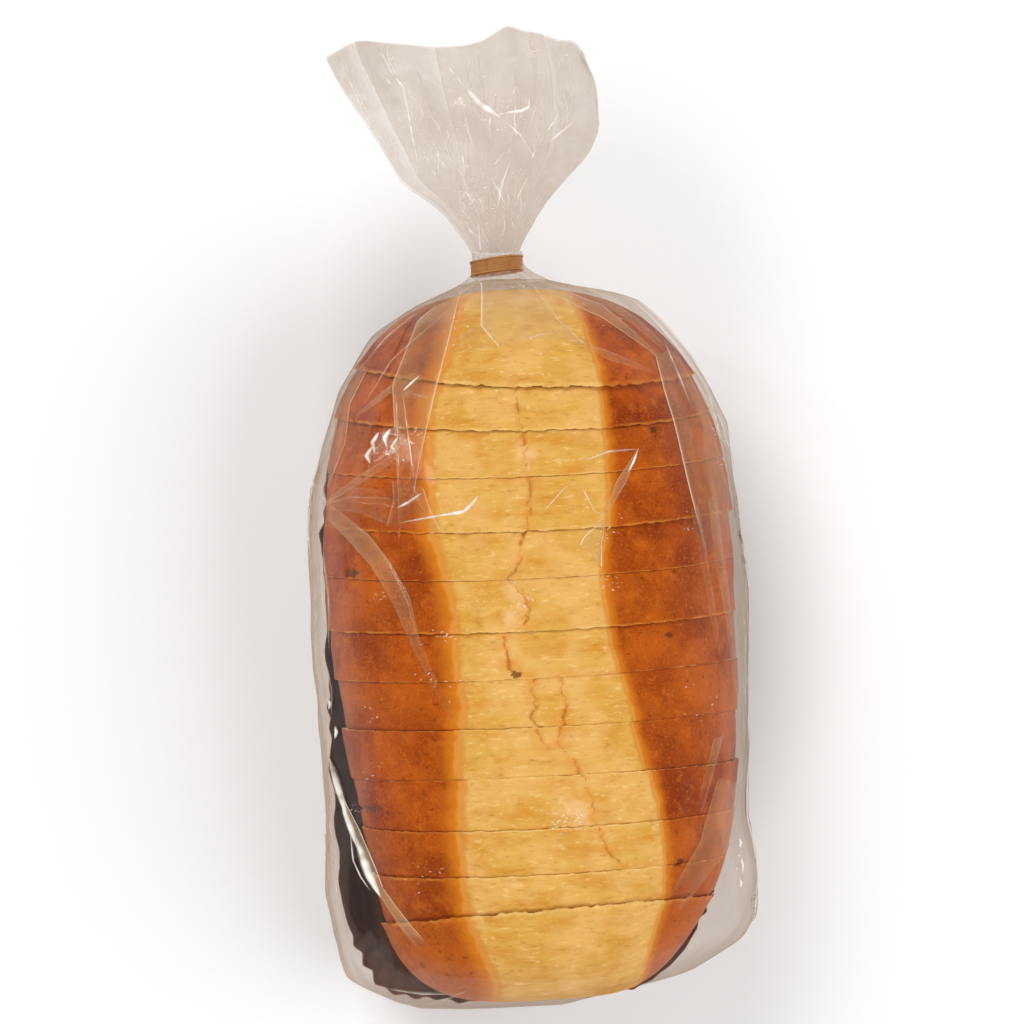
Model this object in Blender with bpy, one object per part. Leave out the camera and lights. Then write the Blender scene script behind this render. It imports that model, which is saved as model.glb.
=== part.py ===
"""Sliced oval loaf in a clear film bag, gathered and tied at the neck.

The filled bag lies on the loaf's base: +Z is up, +Y runs along the loaf to
the tied neck and on through the fanned tail.  The origin is under the middle
of the whole, on the surface that it lies on.  Lengths are in metres.
"""

import math

import bmesh
import bpy

# Driving dimensions
LENGTH = 0.306              # closed end of the bag to the crest of its tail
WIDTH = 0.137               # across the filled bag, at its widest
HEIGHT = 0.092              # resting face to crown
GIRTH_HEIGHT = 0.045        # height at which the filled bag is widest

# Filled body, measured along from the closed end
END_ROUNDING = 0.032        # length over which the closed end rounds off
SHOULDER_START = 0.148      # where the body starts to draw in to the neck
SHOULDER_END = 0.2255       # where it would meet the neck's middle line
END_CUT = 0.975             # how far round the closed end goes before it is flat
END_HEIGHT = 0.034          # middle height of the flat closed end
PLAN_POWER = 2.35           # roundness of the outline seen from above
SIDE_POWER = 2.6            # roundness of the outline seen from the side
DOME_POWER = 2.25           # roundness of a section above the girth
BASE_POWER = 3.6            # squareness of a section below the girth
BASE_OVERSHOOT = 0.003      # depth that the flat base cuts off each section

# Gathered neck
NECK_X = -0.0055
NECK_HEIGHT = 0.042
NECK_HALF_WIDTH = 0.0075
NECK_HALF_HEIGHT = 0.0046
NECK_START = 0.2262
NECK_END = 0.2350
NECK_FLUTE = 0.00025        # depth of the neck's gathers under the tie
SHOULDER_FLUTE = 0.0013     # depth of the gathers that run out over the shoulder
FLUTES = 9

# Fanned tail
TAIL_LEFT = 0.0480          # reach of the tail's left corner from the neck's line
TAIL_RIGHT = 0.0355         # reach of its right bulge
TAIL_LEAN = -0.0015         # sideways drift of the tail's middle line
TAIL_DROOP = 0.016          # how far the tail's hem hangs below the neck
TAIL_EDGE = 0.0020          # half thickness of the gathered film at the hem
TAIL_WAVE = 0.0042          # height of the waves along the hem

# Tie
TIE_WIDTH = 0.0056
TIE_THICKNESS = 0.0007
TIE_CLEARANCE = 0.0004
TIE_TILT = math.radians(5.0)
TIE_OVERLAP = math.radians(26.0)
TIE_SEAM = math.radians(84.0)
TIE_LIFT = 0.0009           # how far the outer end stands over the inner one

# Fineness of the surfaces
COLUMNS = 64
END_STATIONS = 8
BODY_STATIONS = 9
SHOULDER_STATIONS = 15
NECK_STATIONS = 2
TAIL_STATIONS = 13
TIE_STATIONS = 44


def clear_scene():
    for old in list(bpy.data.objects):
        bpy.data.objects.remove(old, do_unlink=True)


def material(name, colour, roughness):
    mat = bpy.data.materials.new(name)
    mat.use_nodes = True
    shader = mat.node_tree.nodes["Principled BSDF"]
    shader.inputs["Base Color"].default_value = (*colour, 1.0)
    shader.inputs["Roughness"].default_value = roughness
    shader.inputs["Metallic"].default_value = 0.0
    return mat


def add_object(name, points, faces, mat):
    mesh = bpy.data.meshes.new(name)
    shape = bmesh.new()
    corners = [shape.verts.new(point) for point in points]
    for face in faces:
        shape.faces.new([corners[index] for index in face])
    bmesh.ops.recalc_face_normals(shape, faces=shape.faces)
    bmesh.ops.triangulate(shape, faces=shape.faces)
    shape.to_mesh(mesh)
    shape.free()
    mesh.shade_smooth()
    mesh.set_sharp_from_angle(angle=math.radians(40.0))
    mesh.materials.append(mat)
    body = bpy.data.objects.new(name, mesh)
    bpy.context.collection.objects.link(body)
    return body


def smooth(value):
    """Ease from 0 to 1 as value goes from 0 to 1."""
    held = min(1.0, max(0.0, value))
    return held * held * (3.0 - 2.0 * held)


def signed_power(value, power):
    return math.copysign(abs(value) ** power, value)


def fullness(along, power):
    """Share of the full size that the body has at a distance along the bag."""
    if along < END_ROUNDING:
        step = END_CUT * (END_ROUNDING - along) / END_ROUNDING
    elif along > SHOULDER_START:
        step = min(1.0, (along - SHOULDER_START) / (SHOULDER_END - SHOULDER_START))
    else:
        step = 0.0
    return (1.0 - step ** power) ** (1.0 / power)


def middle_height(along):
    """Height of the widest line: it ends level with the neck."""
    towards_end = smooth((END_ROUNDING - along) / END_ROUNDING)
    towards_neck = smooth((along - SHOULDER_START) / (SHOULDER_END - SHOULDER_START))
    height = GIRTH_HEIGHT + (END_HEIGHT - GIRTH_HEIGHT) * towards_end
    return height + (NECK_HEIGHT - height) * towards_neck


def gathers(angle, along):
    """Depth of the gathers that run from the neck out over the shoulder."""
    depth = SHOULDER_FLUTE * smooth((along - SHOULDER_START) / 0.05)
    depth += (NECK_FLUTE - depth) * smooth((along - SHOULDER_END + 0.012) / 0.012)
    return depth * math.cos(FLUTES * angle + 0.8)


def body_ring(along):
    """Section of the filled bag, from its closed end to the neck."""
    wide = fullness(along, PLAN_POWER)
    tall = fullness(along, SIDE_POWER)
    middle = middle_height(along)
    towards_neck = smooth((along - SHOULDER_START) / (SHOULDER_END - SHOULDER_START))
    half_width = math.hypot(0.5 * WIDTH * wide, NECK_HALF_WIDTH * towards_neck)
    rise = math.hypot((HEIGHT - middle) * tall, NECK_HALF_HEIGHT * towards_neck)
    drop = math.hypot((middle + BASE_OVERSHOOT) * tall, NECK_HALF_HEIGHT * towards_neck)
    ring = []
    for column in range(COLUMNS):
        angle = 2.0 * math.pi * column / COLUMNS
        above = math.sin(angle) >= 0.0
        power = 2.0 / (DOME_POWER if above else BASE_POWER)
        power += (1.0 - power) * towards_neck
        depth = gathers(angle, along)
        reach = rise if above else drop
        x = half_width * signed_power(math.cos(angle), power) + depth * math.cos(angle)
        z = middle + reach * signed_power(math.sin(angle), power) + depth * math.sin(angle)
        x += NECK_X * towards_neck
        held = min(max(x, -0.5 * WIDTH), 0.5 * WIDTH)
        ring.append((held, along - 0.5 * LENGTH, min(max(z, 0.0), HEIGHT)))
    return ring


def hem(across):
    """Length of the tail along a line that starts at the neck, crest near 1."""
    crest = math.exp(-((across - 0.24) / 0.26) ** 2)
    left_dip = math.exp(-((across + 1.0) / 0.30) ** 2)
    return 0.90 + 0.10 * crest - 0.07 * left_dip


def tail_ring(share):
    """Flattened, wavy section of the gathered film, from the neck to the hem."""
    left = NECK_HALF_WIDTH + (TAIL_LEFT - NECK_HALF_WIDTH) * share ** 0.72
    fan = math.sin(min(0.5 * math.pi, 1.95 * share ** 1.15))
    right = NECK_HALF_WIDTH + (TAIL_RIGHT - NECK_HALF_WIDTH) * fan
    half_height = NECK_HALF_HEIGHT + (TAIL_EDGE - NECK_HALF_HEIGHT) * smooth(1.3 * share)
    middle = NECK_HEIGHT - TAIL_DROOP * share ** 1.6
    crest = max(hem(math.cos(2.0 * math.pi * column / COLUMNS)) for column in range(COLUMNS))
    reach = LENGTH - NECK_END
    ring = []
    for column in range(COLUMNS):
        angle = 2.0 * math.pi * column / COLUMNS
        across = math.cos(angle)
        wave = 0.65 * math.cos(2.0 * math.pi * (1.35 * across + 0.1))
        wave += 0.35 * math.cos(2.0 * math.pi * (2.9 * across + 0.4))
        even = hem(across) / crest
        length = reach * share * (1.0 + (even - 1.0) * share)
        x = NECK_X + TAIL_LEAN * share + (right if across > 0.0 else left) * across
        z = middle + TAIL_WAVE * smooth(share) * wave + half_height * math.sin(angle)
        ring.append((x, NECK_END + length - 0.5 * LENGTH, z))
    return ring


def bag_rings():
    rings = []
    for step in range(END_STATIONS):
        turn = 0.5 * math.pi * step / END_STATIONS
        rings.append(body_ring(END_ROUNDING * (1.0 - math.cos(turn))))
    for step in range(BODY_STATIONS):
        share = step / BODY_STATIONS
        rings.append(body_ring(END_ROUNDING + (SHOULDER_START - END_ROUNDING) * share))
    for step in range(SHOULDER_STATIONS + 1):
        turn = 0.5 * math.pi * step / SHOULDER_STATIONS
        rings.append(body_ring(SHOULDER_START + (NECK_START - SHOULDER_START) * math.sin(turn)))
    for step in range(1, NECK_STATIONS):
        share = step / NECK_STATIONS
        rings.append(body_ring(NECK_START + (NECK_END - NECK_START) * share))
    for step in range(TAIL_STATIONS + 1):
        rings.append(tail_ring((step / TAIL_STATIONS) ** 1.25))
    return rings


def cap(start, flip):
    """Close a ring of COLUMNS points with strips between its two halves."""
    half = COLUMNS // 2
    faces = []
    for column in range(half):
        upper = [start + column, start + column + 1]
        lower = [start + (COLUMNS - column - 1) % COLUMNS, start + (COLUMNS - column) % COLUMNS]
        face = list(dict.fromkeys(upper + lower))
        faces.append(face[::-1] if flip else face)
    return faces


def build_bag(mat):
    rings = bag_rings()
    points = [point for ring in rings for point in ring]
    faces = cap(0, True)
    for station in range(len(rings) - 1):
        near = station * COLUMNS
        far = near + COLUMNS
        for column in range(COLUMNS):
            after = (column + 1) % COLUMNS
            faces.append([near + column, near + after, far + after, far + column])
    faces += cap((len(rings) - 1) * COLUMNS, False)
    return add_object("filled_bag", points, faces, mat)


def build_tie(mat):
    """Flat strip wound once round the neck, its outer end over its inner end."""
    clearance = TIE_CLEARANCE + NECK_FLUTE
    centre_along = 0.5 * (NECK_START + NECK_END) - 0.5 * LENGTH
    points = []
    for station in range(TIE_STATIONS + 1):
        share = station / TIE_STATIONS
        turned = share * (2.0 * math.pi + TIE_OVERLAP)
        angle = TIE_SEAM + turned
        lift = TIE_LIFT * smooth((turned - 2.0 * math.pi + 1.2) / 1.0)
        for outwards in (clearance + lift, clearance + lift + TIE_THICKNESS):
            x = (NECK_HALF_WIDTH + outwards) * math.cos(angle)
            z = (NECK_HALF_HEIGHT + outwards) * math.sin(angle)
            for side in (-0.5, 0.5):
                y = side * TIE_WIDTH + math.tan(TIE_TILT) * x
                points.append((NECK_X + x, centre_along + y, NECK_HEIGHT + z))
    order = (0, 1, 3, 2)
    faces = [[order[0], order[1], order[2], order[3]]]
    for station in range(TIE_STATIONS):
        near = 4 * station
        far = near + 4
        for corner in range(4):
            first = order[corner]
            second = order[(corner + 1) % 4]
            faces.append([near + first, near + second, far + second, far + first])
    last = 4 * TIE_STATIONS
    faces.append([last + corner for corner in reversed(order)])
    return add_object("neck_tie", points, faces, mat)


clear_scene()
build_bag(material("clear_film", (0.71, 0.38, 0.13), 0.22))
build_tie(material("kraft_paper", (0.41, 0.18, 0.05), 0.75))
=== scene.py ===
"""Sliced loaf in a clear film bag: bread, paper baking case, film and paper tie."""
import math

import bpy
import numpy as np
from mathutils import Matrix, Vector
from mathutils.bvhtree import BVHTree


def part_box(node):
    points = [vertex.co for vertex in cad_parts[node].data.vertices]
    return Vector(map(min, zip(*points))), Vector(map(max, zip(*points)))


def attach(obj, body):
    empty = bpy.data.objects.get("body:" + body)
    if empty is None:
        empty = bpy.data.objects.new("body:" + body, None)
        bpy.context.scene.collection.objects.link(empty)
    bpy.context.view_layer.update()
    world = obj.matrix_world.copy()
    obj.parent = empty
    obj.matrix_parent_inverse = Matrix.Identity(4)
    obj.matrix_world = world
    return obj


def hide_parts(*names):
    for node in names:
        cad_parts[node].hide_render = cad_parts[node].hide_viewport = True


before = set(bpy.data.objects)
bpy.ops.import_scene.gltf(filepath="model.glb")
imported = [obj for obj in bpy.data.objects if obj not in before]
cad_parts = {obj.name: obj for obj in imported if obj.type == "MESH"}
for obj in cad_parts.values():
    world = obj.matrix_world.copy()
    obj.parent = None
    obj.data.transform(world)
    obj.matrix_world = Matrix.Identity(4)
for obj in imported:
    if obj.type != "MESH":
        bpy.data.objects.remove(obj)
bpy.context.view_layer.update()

BAG_LOW, BAG_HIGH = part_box("filled_bag")
TIE_LOW, TIE_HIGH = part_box("neck_tie")
MM = 0.001

# ------------------------------------------------------------------ sizes, in metres

NECK = 0.5 * (TIE_LOW + TIE_HIGH)
NECK_HALF_WIDTH = 7.5 * MM
NECK_HALF_HEIGHT = 4.6 * MM
CLOSED_END = BAG_LOW.y
TAIL_CREST = BAG_HIGH.y

# Loaf: its cuts are given at the crown, from the neck to the closed end of the bag
LOAF_FOOT = CLOSED_END + 1.2 * MM
LOAF_HEAD = TIE_LOW.y - 5.0 * MM
LOAF_WAIST = -20.0 * MM          # where the loaf is widest
LOAF_HALF_WIDTH = BAG_HIGH.x - 4.6 * MM
LOAF_BASE = 1.4 * MM
LOAF_GIRTH = 44.0 * MM
LOAF_CROWN = BAG_HIGH.z - 4.5 * MM
HEAD_THICKNESS = 34.3 * MM
SLICE_THICKNESSES = [t * MM for t in (12.7, 13.7, 16.3, 14.4, 15.7, 14.3, 15.1, 14.8, 15.8, 13.9, 10)]
SLICE_GAP = 0.09 * MM
CUT_TURNS = [math.radians(t) for t in (-3.0, -1.0, 0.3, 0.2, 0.3, 0.4, 0.7, 0.3, 0.3, 0.5, 0.6, 2.2)]
CUT_LEANS = [math.radians(t) for t in (18, 16, 12.5, 11.5, 10, 8, 6.5, 5, 3.5, 5, 4, -4)]
LEAN_REACH = 38.0 * MM           # below this depth under the crown the cuts run upright
LIP_STEPS = (1.5, 1.0, 0.5, 0.9, 0.4, 0.8, 0.3, -0.4, -0.4, -0.6, -0.8, -1.4)

# Baking case
CASE_RIM = 31.0 * MM
CASE_FLARE = 9.0 * MM
CASE_PAPER = 0.22 * MM
FLUTES = 88
FLUTE_DEPTH = 0.62 * MM

# Filled bag: its heights follow the solid that it stands for
END_ROUNDING = 32.0 * MM
SHOULDER_START = 148.0 * MM
SHOULDER_END = 225.5 * MM
END_CUT = 0.975                  # how far round its curve the closed end is cut flat
END_HEIGHT = 34.0 * MM
GIRTH_HEIGHT = 45.0 * MM
SIDE_POWER, DOME_POWER, BASE_POWER = 2.6, 2.25, 3.6
# Plan of the filled film in mm: places along the bag, and how far out each side lies there.
# Slack at the closed end, with a blunt left corner and a slanting right one; close to the loaf at its head.
FILM_LEFT = (
    (-153, -152, -147, -143, -130, -116, -92, -77, -46, -7, 8, 23, 40, 57, 65, 72, 78),
    (38, 45, 55.5, 61.5, 65, 67, 66, 66.5, 68.5, 68.5, 66.5, 62.5, 56.5, 45.5, 33, 17, 10))
FILM_RIGHT = (
    (-153, -148, -145, -136, -129, -114, -98, -83, -28, 3, 26, 36, 47, 58, 66.5, 71, 76, 78),
    (6, 32, 46, 61, 65, 66.5, 64.5, 66, 68.5, 66.5, 63, 59, 53, 44.5, 36, 14, 4, 2.5))
NECK_START = 226.2 * MM
NECK_END = 235.0 * MM
MOST_MIRRORED = 0.05             # the film never reflects or veils more than this
MOST_VEILED = 0.94
FLAP_HAZE = 0.75
FLAP_LIFT = 0.35 * MM
CREASE_LIFT = 0.5 * MM
SEEN_THROUGH_TAIL = 0.30         # how much shows through all the layers of the gathered end

VIEW_WIDTH = 320.0 * MM          # what the camera takes in at the height of the loaf's girth


# ------------------------------------------------------------------ numbers and noise

def ease(value):
    held = np.clip(value, 0.0, 1.0)
    return held * held * (3.0 - 2.0 * held)


def power(value, exponent):
    return np.sign(value) * np.abs(value) ** exponent


def curve_through(at, places, values, softness):
    """Values along a smooth line through a few points."""
    steps = (-1.0, -0.5, 0.0, 0.5, 1.0)
    return sum(np.interp(at + step * softness, places, values) for step in steps) / len(steps)


def lumps(u, v, seed):
    """Smooth noise from -1 to 1 with features one unit across."""
    lattice = np.random.default_rng(seed).uniform(-1.0, 1.0, (64, 64))
    iu, iv = np.floor(u).astype(int), np.floor(v).astype(int)
    fu, fv = ease(u - iu), ease(v - iv)
    near = lattice[iu % 64, iv % 64] * (1 - fu) + lattice[(iu + 1) % 64, iv % 64] * fu
    far = lattice[iu % 64, (iv + 1) % 64] * (1 - fu) + lattice[(iu + 1) % 64, (iv + 1) % 64] * fu
    return near * (1 - fv) + far * fv


def layered(u, v, seed, octaves=3):
    total = sum(lumps(u * 2.03 ** k, v * 2.03 ** k, seed + k) * 0.5 ** k for k in range(octaves))
    return total / (2.0 - 0.5 ** (octaves - 1))


def facets(u, v, seed, turn=0.6):
    """Flat facets that meet in sharp creases, as in stiff film, from -1 to 1."""
    a = u * math.cos(turn) - v * math.sin(turn)
    b = u * math.sin(turn) + v * math.cos(turn)
    a, b = a + 0.35 * lumps(b * 0.7, a * 0.7, seed + 50), b + 0.35 * lumps(a * 0.7, b * 0.7, seed + 51)
    lattice = np.random.default_rng(seed).uniform(-1.0, 1.0, (64, 64))
    ia, ib = np.floor(a).astype(int), np.floor(b).astype(int)
    fa, fb = a - ia, b - ib
    c00, c10 = lattice[ia % 64, ib % 64], lattice[(ia + 1) % 64, ib % 64]
    c01, c11 = lattice[ia % 64, (ib + 1) % 64], lattice[(ia + 1) % 64, (ib + 1) % 64]
    below = c00 + fa * (c10 - c00) + fb * (c11 - c10)
    above = c00 + fb * (c01 - c00) + fa * (c11 - c01)
    return np.where(fa > fb, below, above)


def line_distance(x, y, points):
    """Distance from each place to an open line through points."""
    nearest = np.full(np.shape(x), 1e9)
    for (ax, ay), (bx, by) in zip(points, points[1:]):
        dx, dy = bx - ax, by - ay
        share = np.clip(((x - ax) * dx + (y - ay) * dy) / (dx * dx + dy * dy), 0.0, 1.0)
        nearest = np.minimum(nearest, np.hypot(x - ax - share * dx, y - ay - share * dy))
    return nearest


# ------------------------------------------------------------------ meshes

def add_mesh(name, points, faces, fields=None, face_slots=None):
    mesh = bpy.data.meshes.new(name)
    mesh.from_pydata(np.asarray(points, float).reshape(-1, 3).tolist(), [], faces)
    for label, values in (fields or {}).items():
        layer = mesh.attributes.new(label, "FLOAT", "POINT")
        layer.data.foreach_set("value", np.asarray(values, np.float32).ravel())
    if face_slots is not None:
        mesh.polygons.foreach_set("material_index", np.asarray(face_slots, np.int32))
    mesh.update()
    mesh.shade_smooth()
    piece = bpy.data.objects.new(name, mesh)
    bpy.context.scene.collection.objects.link(piece)
    return piece


def grid_faces(rows, columns, closed, start=0):
    """Quads of a grid of points stored row by row, joined round if closed."""
    faces = []
    for row in range(rows - 1):
        near = start + row * columns
        far = near + columns
        for column in range(columns if closed else columns - 1):
            after = (column + 1) % columns
            faces.append((near + column, near + after, far + after, far + column))
    return faces


def finish(piece, slot, *materials):
    for mat in materials:
        piece.data.materials.append(mat)
    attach(piece, "root")
    return piece


# ------------------------------------------------------------------ material helpers

class Nodes:
    """Short ways to add and join shader nodes in one tree."""

    def __init__(self, tree):
        self.tree = tree

    def add(self, kind, **settings):
        node = self.tree.nodes.new("ShaderNode" + kind)
        for key, value in settings.items():
            setattr(node, key, value)
        return node

    def join(self, source, target):
        self.tree.links.new(source, target)

    def feed(self, socket, value):
        if isinstance(value, bpy.types.NodeSocket):
            self.join(value, socket)
        elif isinstance(value, (tuple, list)) and len(value) == 3 and socket.type == "RGBA":
            socket.default_value = (*value, 1.0)
        else:
            socket.default_value = value

    def maths(self, operation, first, second=0.0, clamp=False):
        node = self.add("Math", operation=operation, use_clamp=clamp)
        self.feed(node.inputs[0], first)
        self.feed(node.inputs[1], second)
        return node.outputs[0]

    def mix(self, share, first, second):
        node = self.add("Mix", data_type="RGBA")
        self.feed(node.inputs["Factor"], share)
        self.feed(node.inputs[6], first)
        self.feed(node.inputs[7], second)
        return node.outputs[2]

    def span(self, value, low, high, to_low=0.0, to_high=1.0):
        node = self.add("MapRange", clamp=True)
        node.interpolation_type = "SMOOTHSTEP"
        for socket, setting in zip(node.inputs, (value, low, high, to_low, to_high)):
            self.feed(socket, setting)
        return node.outputs[0]

    def place(self, scale=(1.0, 1.0, 1.0)):
        where = self.add("TexCoord")
        mapping = self.add("Mapping")
        mapping.inputs["Scale"].default_value = scale
        self.join(where.outputs["Object"], mapping.inputs["Vector"])
        return mapping.outputs[0]

    def noise(self, where, scale, detail=3.0, rough=0.55):
        node = self.add("TexNoise")
        self.feed(node.inputs["Vector"], where)
        node.inputs["Scale"].default_value = scale
        node.inputs["Detail"].default_value = detail
        node.inputs["Roughness"].default_value = rough
        return node.outputs["Fac"]

    def cells(self, where, scale):
        node = self.add("TexVoronoi")
        self.feed(node.inputs["Vector"], where)
        node.inputs["Scale"].default_value = scale
        return node.outputs["Distance"]

    def field(self, label):
        return self.add("Attribute", attribute_name=label).outputs["Fac"]

    def bump(self, height, strength, distance, normal=None):
        node = self.add("Bump")
        node.inputs["Strength"].default_value = strength
        node.inputs["Distance"].default_value = distance
        self.feed(node.inputs["Height"], height)
        if normal is not None:
            self.join(normal, node.inputs["Normal"])
        return node.outputs[0]


def new_material(name):
    mat = bpy.data.materials.new(name)
    mat.use_nodes = True
    kit = Nodes(mat.node_tree)
    return mat, kit, mat.node_tree.nodes["Principled BSDF"]


def new_group(name, inputs, outputs):
    """An empty shader node group with float inputs and named outputs."""
    tree = bpy.data.node_groups.new(name, "ShaderNodeTree")
    for label, value in inputs.items():
        socket = tree.interface.new_socket(label, in_out="INPUT", socket_type="NodeSocketFloat")
        socket.default_value = value
    for label, kind in outputs.items():
        tree.interface.new_socket(label, in_out="OUTPUT", socket_type="NodeSocket" + kind)
    return tree, Nodes(tree), tree.nodes.new("NodeGroupInput"), tree.nodes.new("NodeGroupOutput")


def use_group(kit, tree, **values):
    node = kit.add("Group", node_tree=tree)
    for label, value in values.items():
        kit.feed(node.inputs[label], value)
    return node


# ------------------------------------------------------------------ shared effects

def make_mottle():
    """Cloudy patches and fine specks, as on baked dough and rough paper."""
    tree, kit, given, out = new_group(
        "mottle", {"Patch size": 60.0, "Speck size": 900.0}, {"Patches": "Float", "Specks": "Float"})
    where = kit.place()
    patches = kit.add("TexNoise")
    patches.inputs["Detail"].default_value = 4.0
    patches.inputs["Roughness"].default_value = 0.6
    kit.join(where, patches.inputs["Vector"])
    kit.join(given.outputs["Patch size"], patches.inputs["Scale"])
    specks = kit.add("TexNoise")
    specks.inputs["Detail"].default_value = 2.0
    kit.join(where, specks.inputs["Vector"])
    kit.join(given.outputs["Speck size"], specks.inputs["Scale"])
    kit.join(kit.span(patches.outputs["Fac"], 0.32, 0.68), out.inputs["Patches"])
    kit.join(kit.span(specks.outputs["Fac"], 0.60, 0.74), out.inputs["Specks"])
    return tree


def make_film_marks():
    """Cloudiness and fine crumpling of clear film."""
    tree, kit, given, out = new_group(
        "film_marks", {"Crumple size": 90.0}, {"Cloud": "Float", "Crumple": "Float"})
    where = kit.place()
    cloud = kit.noise(where, 38.0, 3.0)
    kit.join(kit.span(cloud, 0.3, 0.75), out.inputs["Cloud"])
    cell = kit.add("TexVoronoi", feature="F1")
    kit.join(where, cell.inputs["Vector"])
    kit.join(given.outputs["Crumple size"], cell.inputs["Scale"])
    away = kit.add("VectorMath", operation="SUBTRACT")
    scaled = kit.add("VectorMath", operation="SCALE")
    kit.join(where, scaled.inputs[0])
    kit.join(given.outputs["Crumple size"], scaled.inputs["Scale"])
    kit.join(scaled.outputs[0], away.inputs[0])
    kit.join(cell.outputs["Position"], away.inputs[1])
    lean = kit.add("VectorMath", operation="SUBTRACT")
    kit.join(cell.outputs["Color"], lean.inputs[0])
    lean.inputs[1].default_value = (0.5, 0.5, 0.5)
    height = kit.add("VectorMath", operation="DOT_PRODUCT")
    kit.join(away.outputs[0], height.inputs[0])
    kit.join(lean.outputs[0], height.inputs[1])
    kit.join(height.outputs["Value"], out.inputs["Crumple"])
    return tree


MOTTLE = make_mottle()
FILM_MARKS = make_film_marks()


# ------------------------------------------------------------------ materials

def crust_material():
    """Golden-brown glazed crust, with the pale torn band where the loaf burst."""
    mat, kit, shader = new_material("baked_crust")
    mottle = use_group(kit, MOTTLE, **{"Patch size": 60.0, "Speck size": 620.0})
    plain = kit.place()
    grain = kit.noise(plain, 420.0, 3.0)
    fine = kit.noise(plain, 1300.0, 3.0)
    stretched = kit.place((0.30, 1.0, 1.0))
    fibre = kit.noise(stretched, 820.0, 4.0, 0.65)
    tear = kit.noise(stretched, 240.0, 3.0, 0.6)
    wobble = kit.maths("MULTIPLY", kit.maths("SUBTRACT", kit.noise(plain, 260.0, 3.0), 0.5), 2.0)
    inside = kit.maths("ADD", kit.field("burst"), wobble)

    brown = kit.mix(mottle.outputs["Patches"], (0.225, 0.026, 0.0020), (0.475, 0.088, 0.0050))
    brown = kit.mix(kit.span(kit.field("tone"), -1.0, 3.0, 0.0, 0.80), brown, (0.50, 0.115, 0.007))
    # Painted shade: the crust is darker low on the sides, below the girth.
    brown = kit.mix(kit.maths("MULTIPLY", kit.field("side"), 0.25), brown, (0.27, 0.034, 0.003))
    brown = kit.mix(kit.maths("MULTIPLY", mottle.outputs["Specks"], 0.62), brown, (0.15, 0.016, 0.002))
    brown = kit.mix(kit.maths("MULTIPLY", kit.span(fine, 0.54, 0.70), 0.45), brown, (0.62, 0.17, 0.014))

    clouds = kit.noise(plain, 190.0, 4.0, 0.65)
    brown = kit.mix(kit.span(clouds, 0.54, 0.68, 0.0, 0.40), brown, (0.60, 0.150, 0.012))
    brown = kit.mix(kit.span(clouds, 0.42, 0.30, 0.0, 0.40), brown, (0.17, 0.020, 0.002))

    straw = kit.mix(kit.span(tear, 0.35, 0.7), (0.71, 0.392, 0.080), (0.64, 0.288, 0.038))
    straw = kit.mix(kit.span(kit.noise(plain, 75.0, 2.0), 0.4, 0.65, 0.0, 0.5), straw, (0.84, 0.50, 0.18))
    straw = kit.mix(kit.maths("MULTIPLY", kit.span(fibre, 0.57, 0.72), 0.52), straw, (0.40, 0.185, 0.032))
    straw = kit.mix(kit.maths("MULTIPLY", kit.span(fibre, 0.44, 0.32), 0.45), straw, (0.93, 0.64, 0.27))
    torn = kit.maths("MULTIPLY", kit.field("torn"), kit.span(clouds, 0.40, 0.55, 0.15, 0.65))
    straw = kit.mix(torn, straw, (0.84, 0.52, 0.24))
    halo = kit.maths("MULTIPLY", kit.span(kit.field("crack"), 4.5, 0.8), kit.span(tear, 0.40, 0.60))
    straw = kit.mix(kit.maths("MULTIPLY", halo, 0.45), straw, (0.74, 0.30, 0.045))

    rim = kit.mix(kit.span(inside, -4.2, -0.5), brown, (0.64, 0.200, 0.012))
    colour = kit.mix(kit.span(inside, -0.8, 1.3), rim, straw)
    ridge = kit.maths("MULTIPLY", kit.span(inside, -1.3, -0.6), kit.span(inside, 0.4, -0.4))
    colour = kit.mix(kit.maths("MULTIPLY", ridge, 0.35), colour, (0.85, 0.42, 0.10))
    crack = kit.span(kit.maths("ADD", kit.field("crack"), kit.maths("MULTIPLY", wobble, 0.25)), 0.80, 0.15)
    colour = kit.mix(kit.maths("MULTIPLY", crack, 0.62), colour, (0.50, 0.19, 0.026))
    broken = kit.span(kit.noise(plain, 170.0, 3.0), 0.38, 0.62)
    # Pale ragged lip along the proud edge of each cut: partly crumb showing at the torn edge, partly a
    # painted highlight where that edge catches the light.
    lip = kit.maths("ADD", kit.field("lip"), kit.maths("MULTIPLY", wobble, 0.35))
    pale = kit.mix(kit.span(inside, -1.5, 1.0), (0.64, 0.22, 0.030), (0.88, 0.56, 0.19))
    edge = kit.maths("MULTIPLY", kit.span(lip, 0.90, 0.30, 0.0, 0.65), kit.span(broken, 0.0, 1.0, 0.25, 1.0))
    colour = kit.mix(edge, colour, pale)
    # Painted shadow: a darker band along each cut edge tucked under the next slice's proud lip.
    painted_seam_shadow = kit.maths("MULTIPLY", kit.span(kit.field("cut"), 0.8, 0.0), kit.span(kit.field("lip"), 1.5, 2.5))
    painted_seam_shadow = kit.maths("MULTIPLY", painted_seam_shadow, kit.span(broken, 0.0, 1.0, 0.60, 0.25))
    shade = kit.mix(kit.span(inside, -1.5, 1.0), (0.22, 0.030, 0.004), (0.52, 0.205, 0.028))
    colour = kit.mix(painted_seam_shadow, colour, shade)
    colour = kit.mix(kit.span(kit.field("burnt"), 0.30, 0.9, 0.0, 0.75), colour, (0.085, 0.028, 0.008))
    kit.join(colour, shader.inputs["Base Color"])

    kit.join(kit.span(inside, -1.0, 1.5, 0.50, 0.78), shader.inputs["Roughness"])
    shader.inputs["Specular IOR Level"].default_value = 0.12
    weave = kit.mix(kit.span(inside, -0.5, 1.5), grain, fibre)
    small = kit.bump(weave, 0.5, 0.0004)
    kit.join(kit.bump(mottle.outputs["Patches"], 0.3, 0.0005, small), shader.inputs["Normal"])
    return mat


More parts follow.
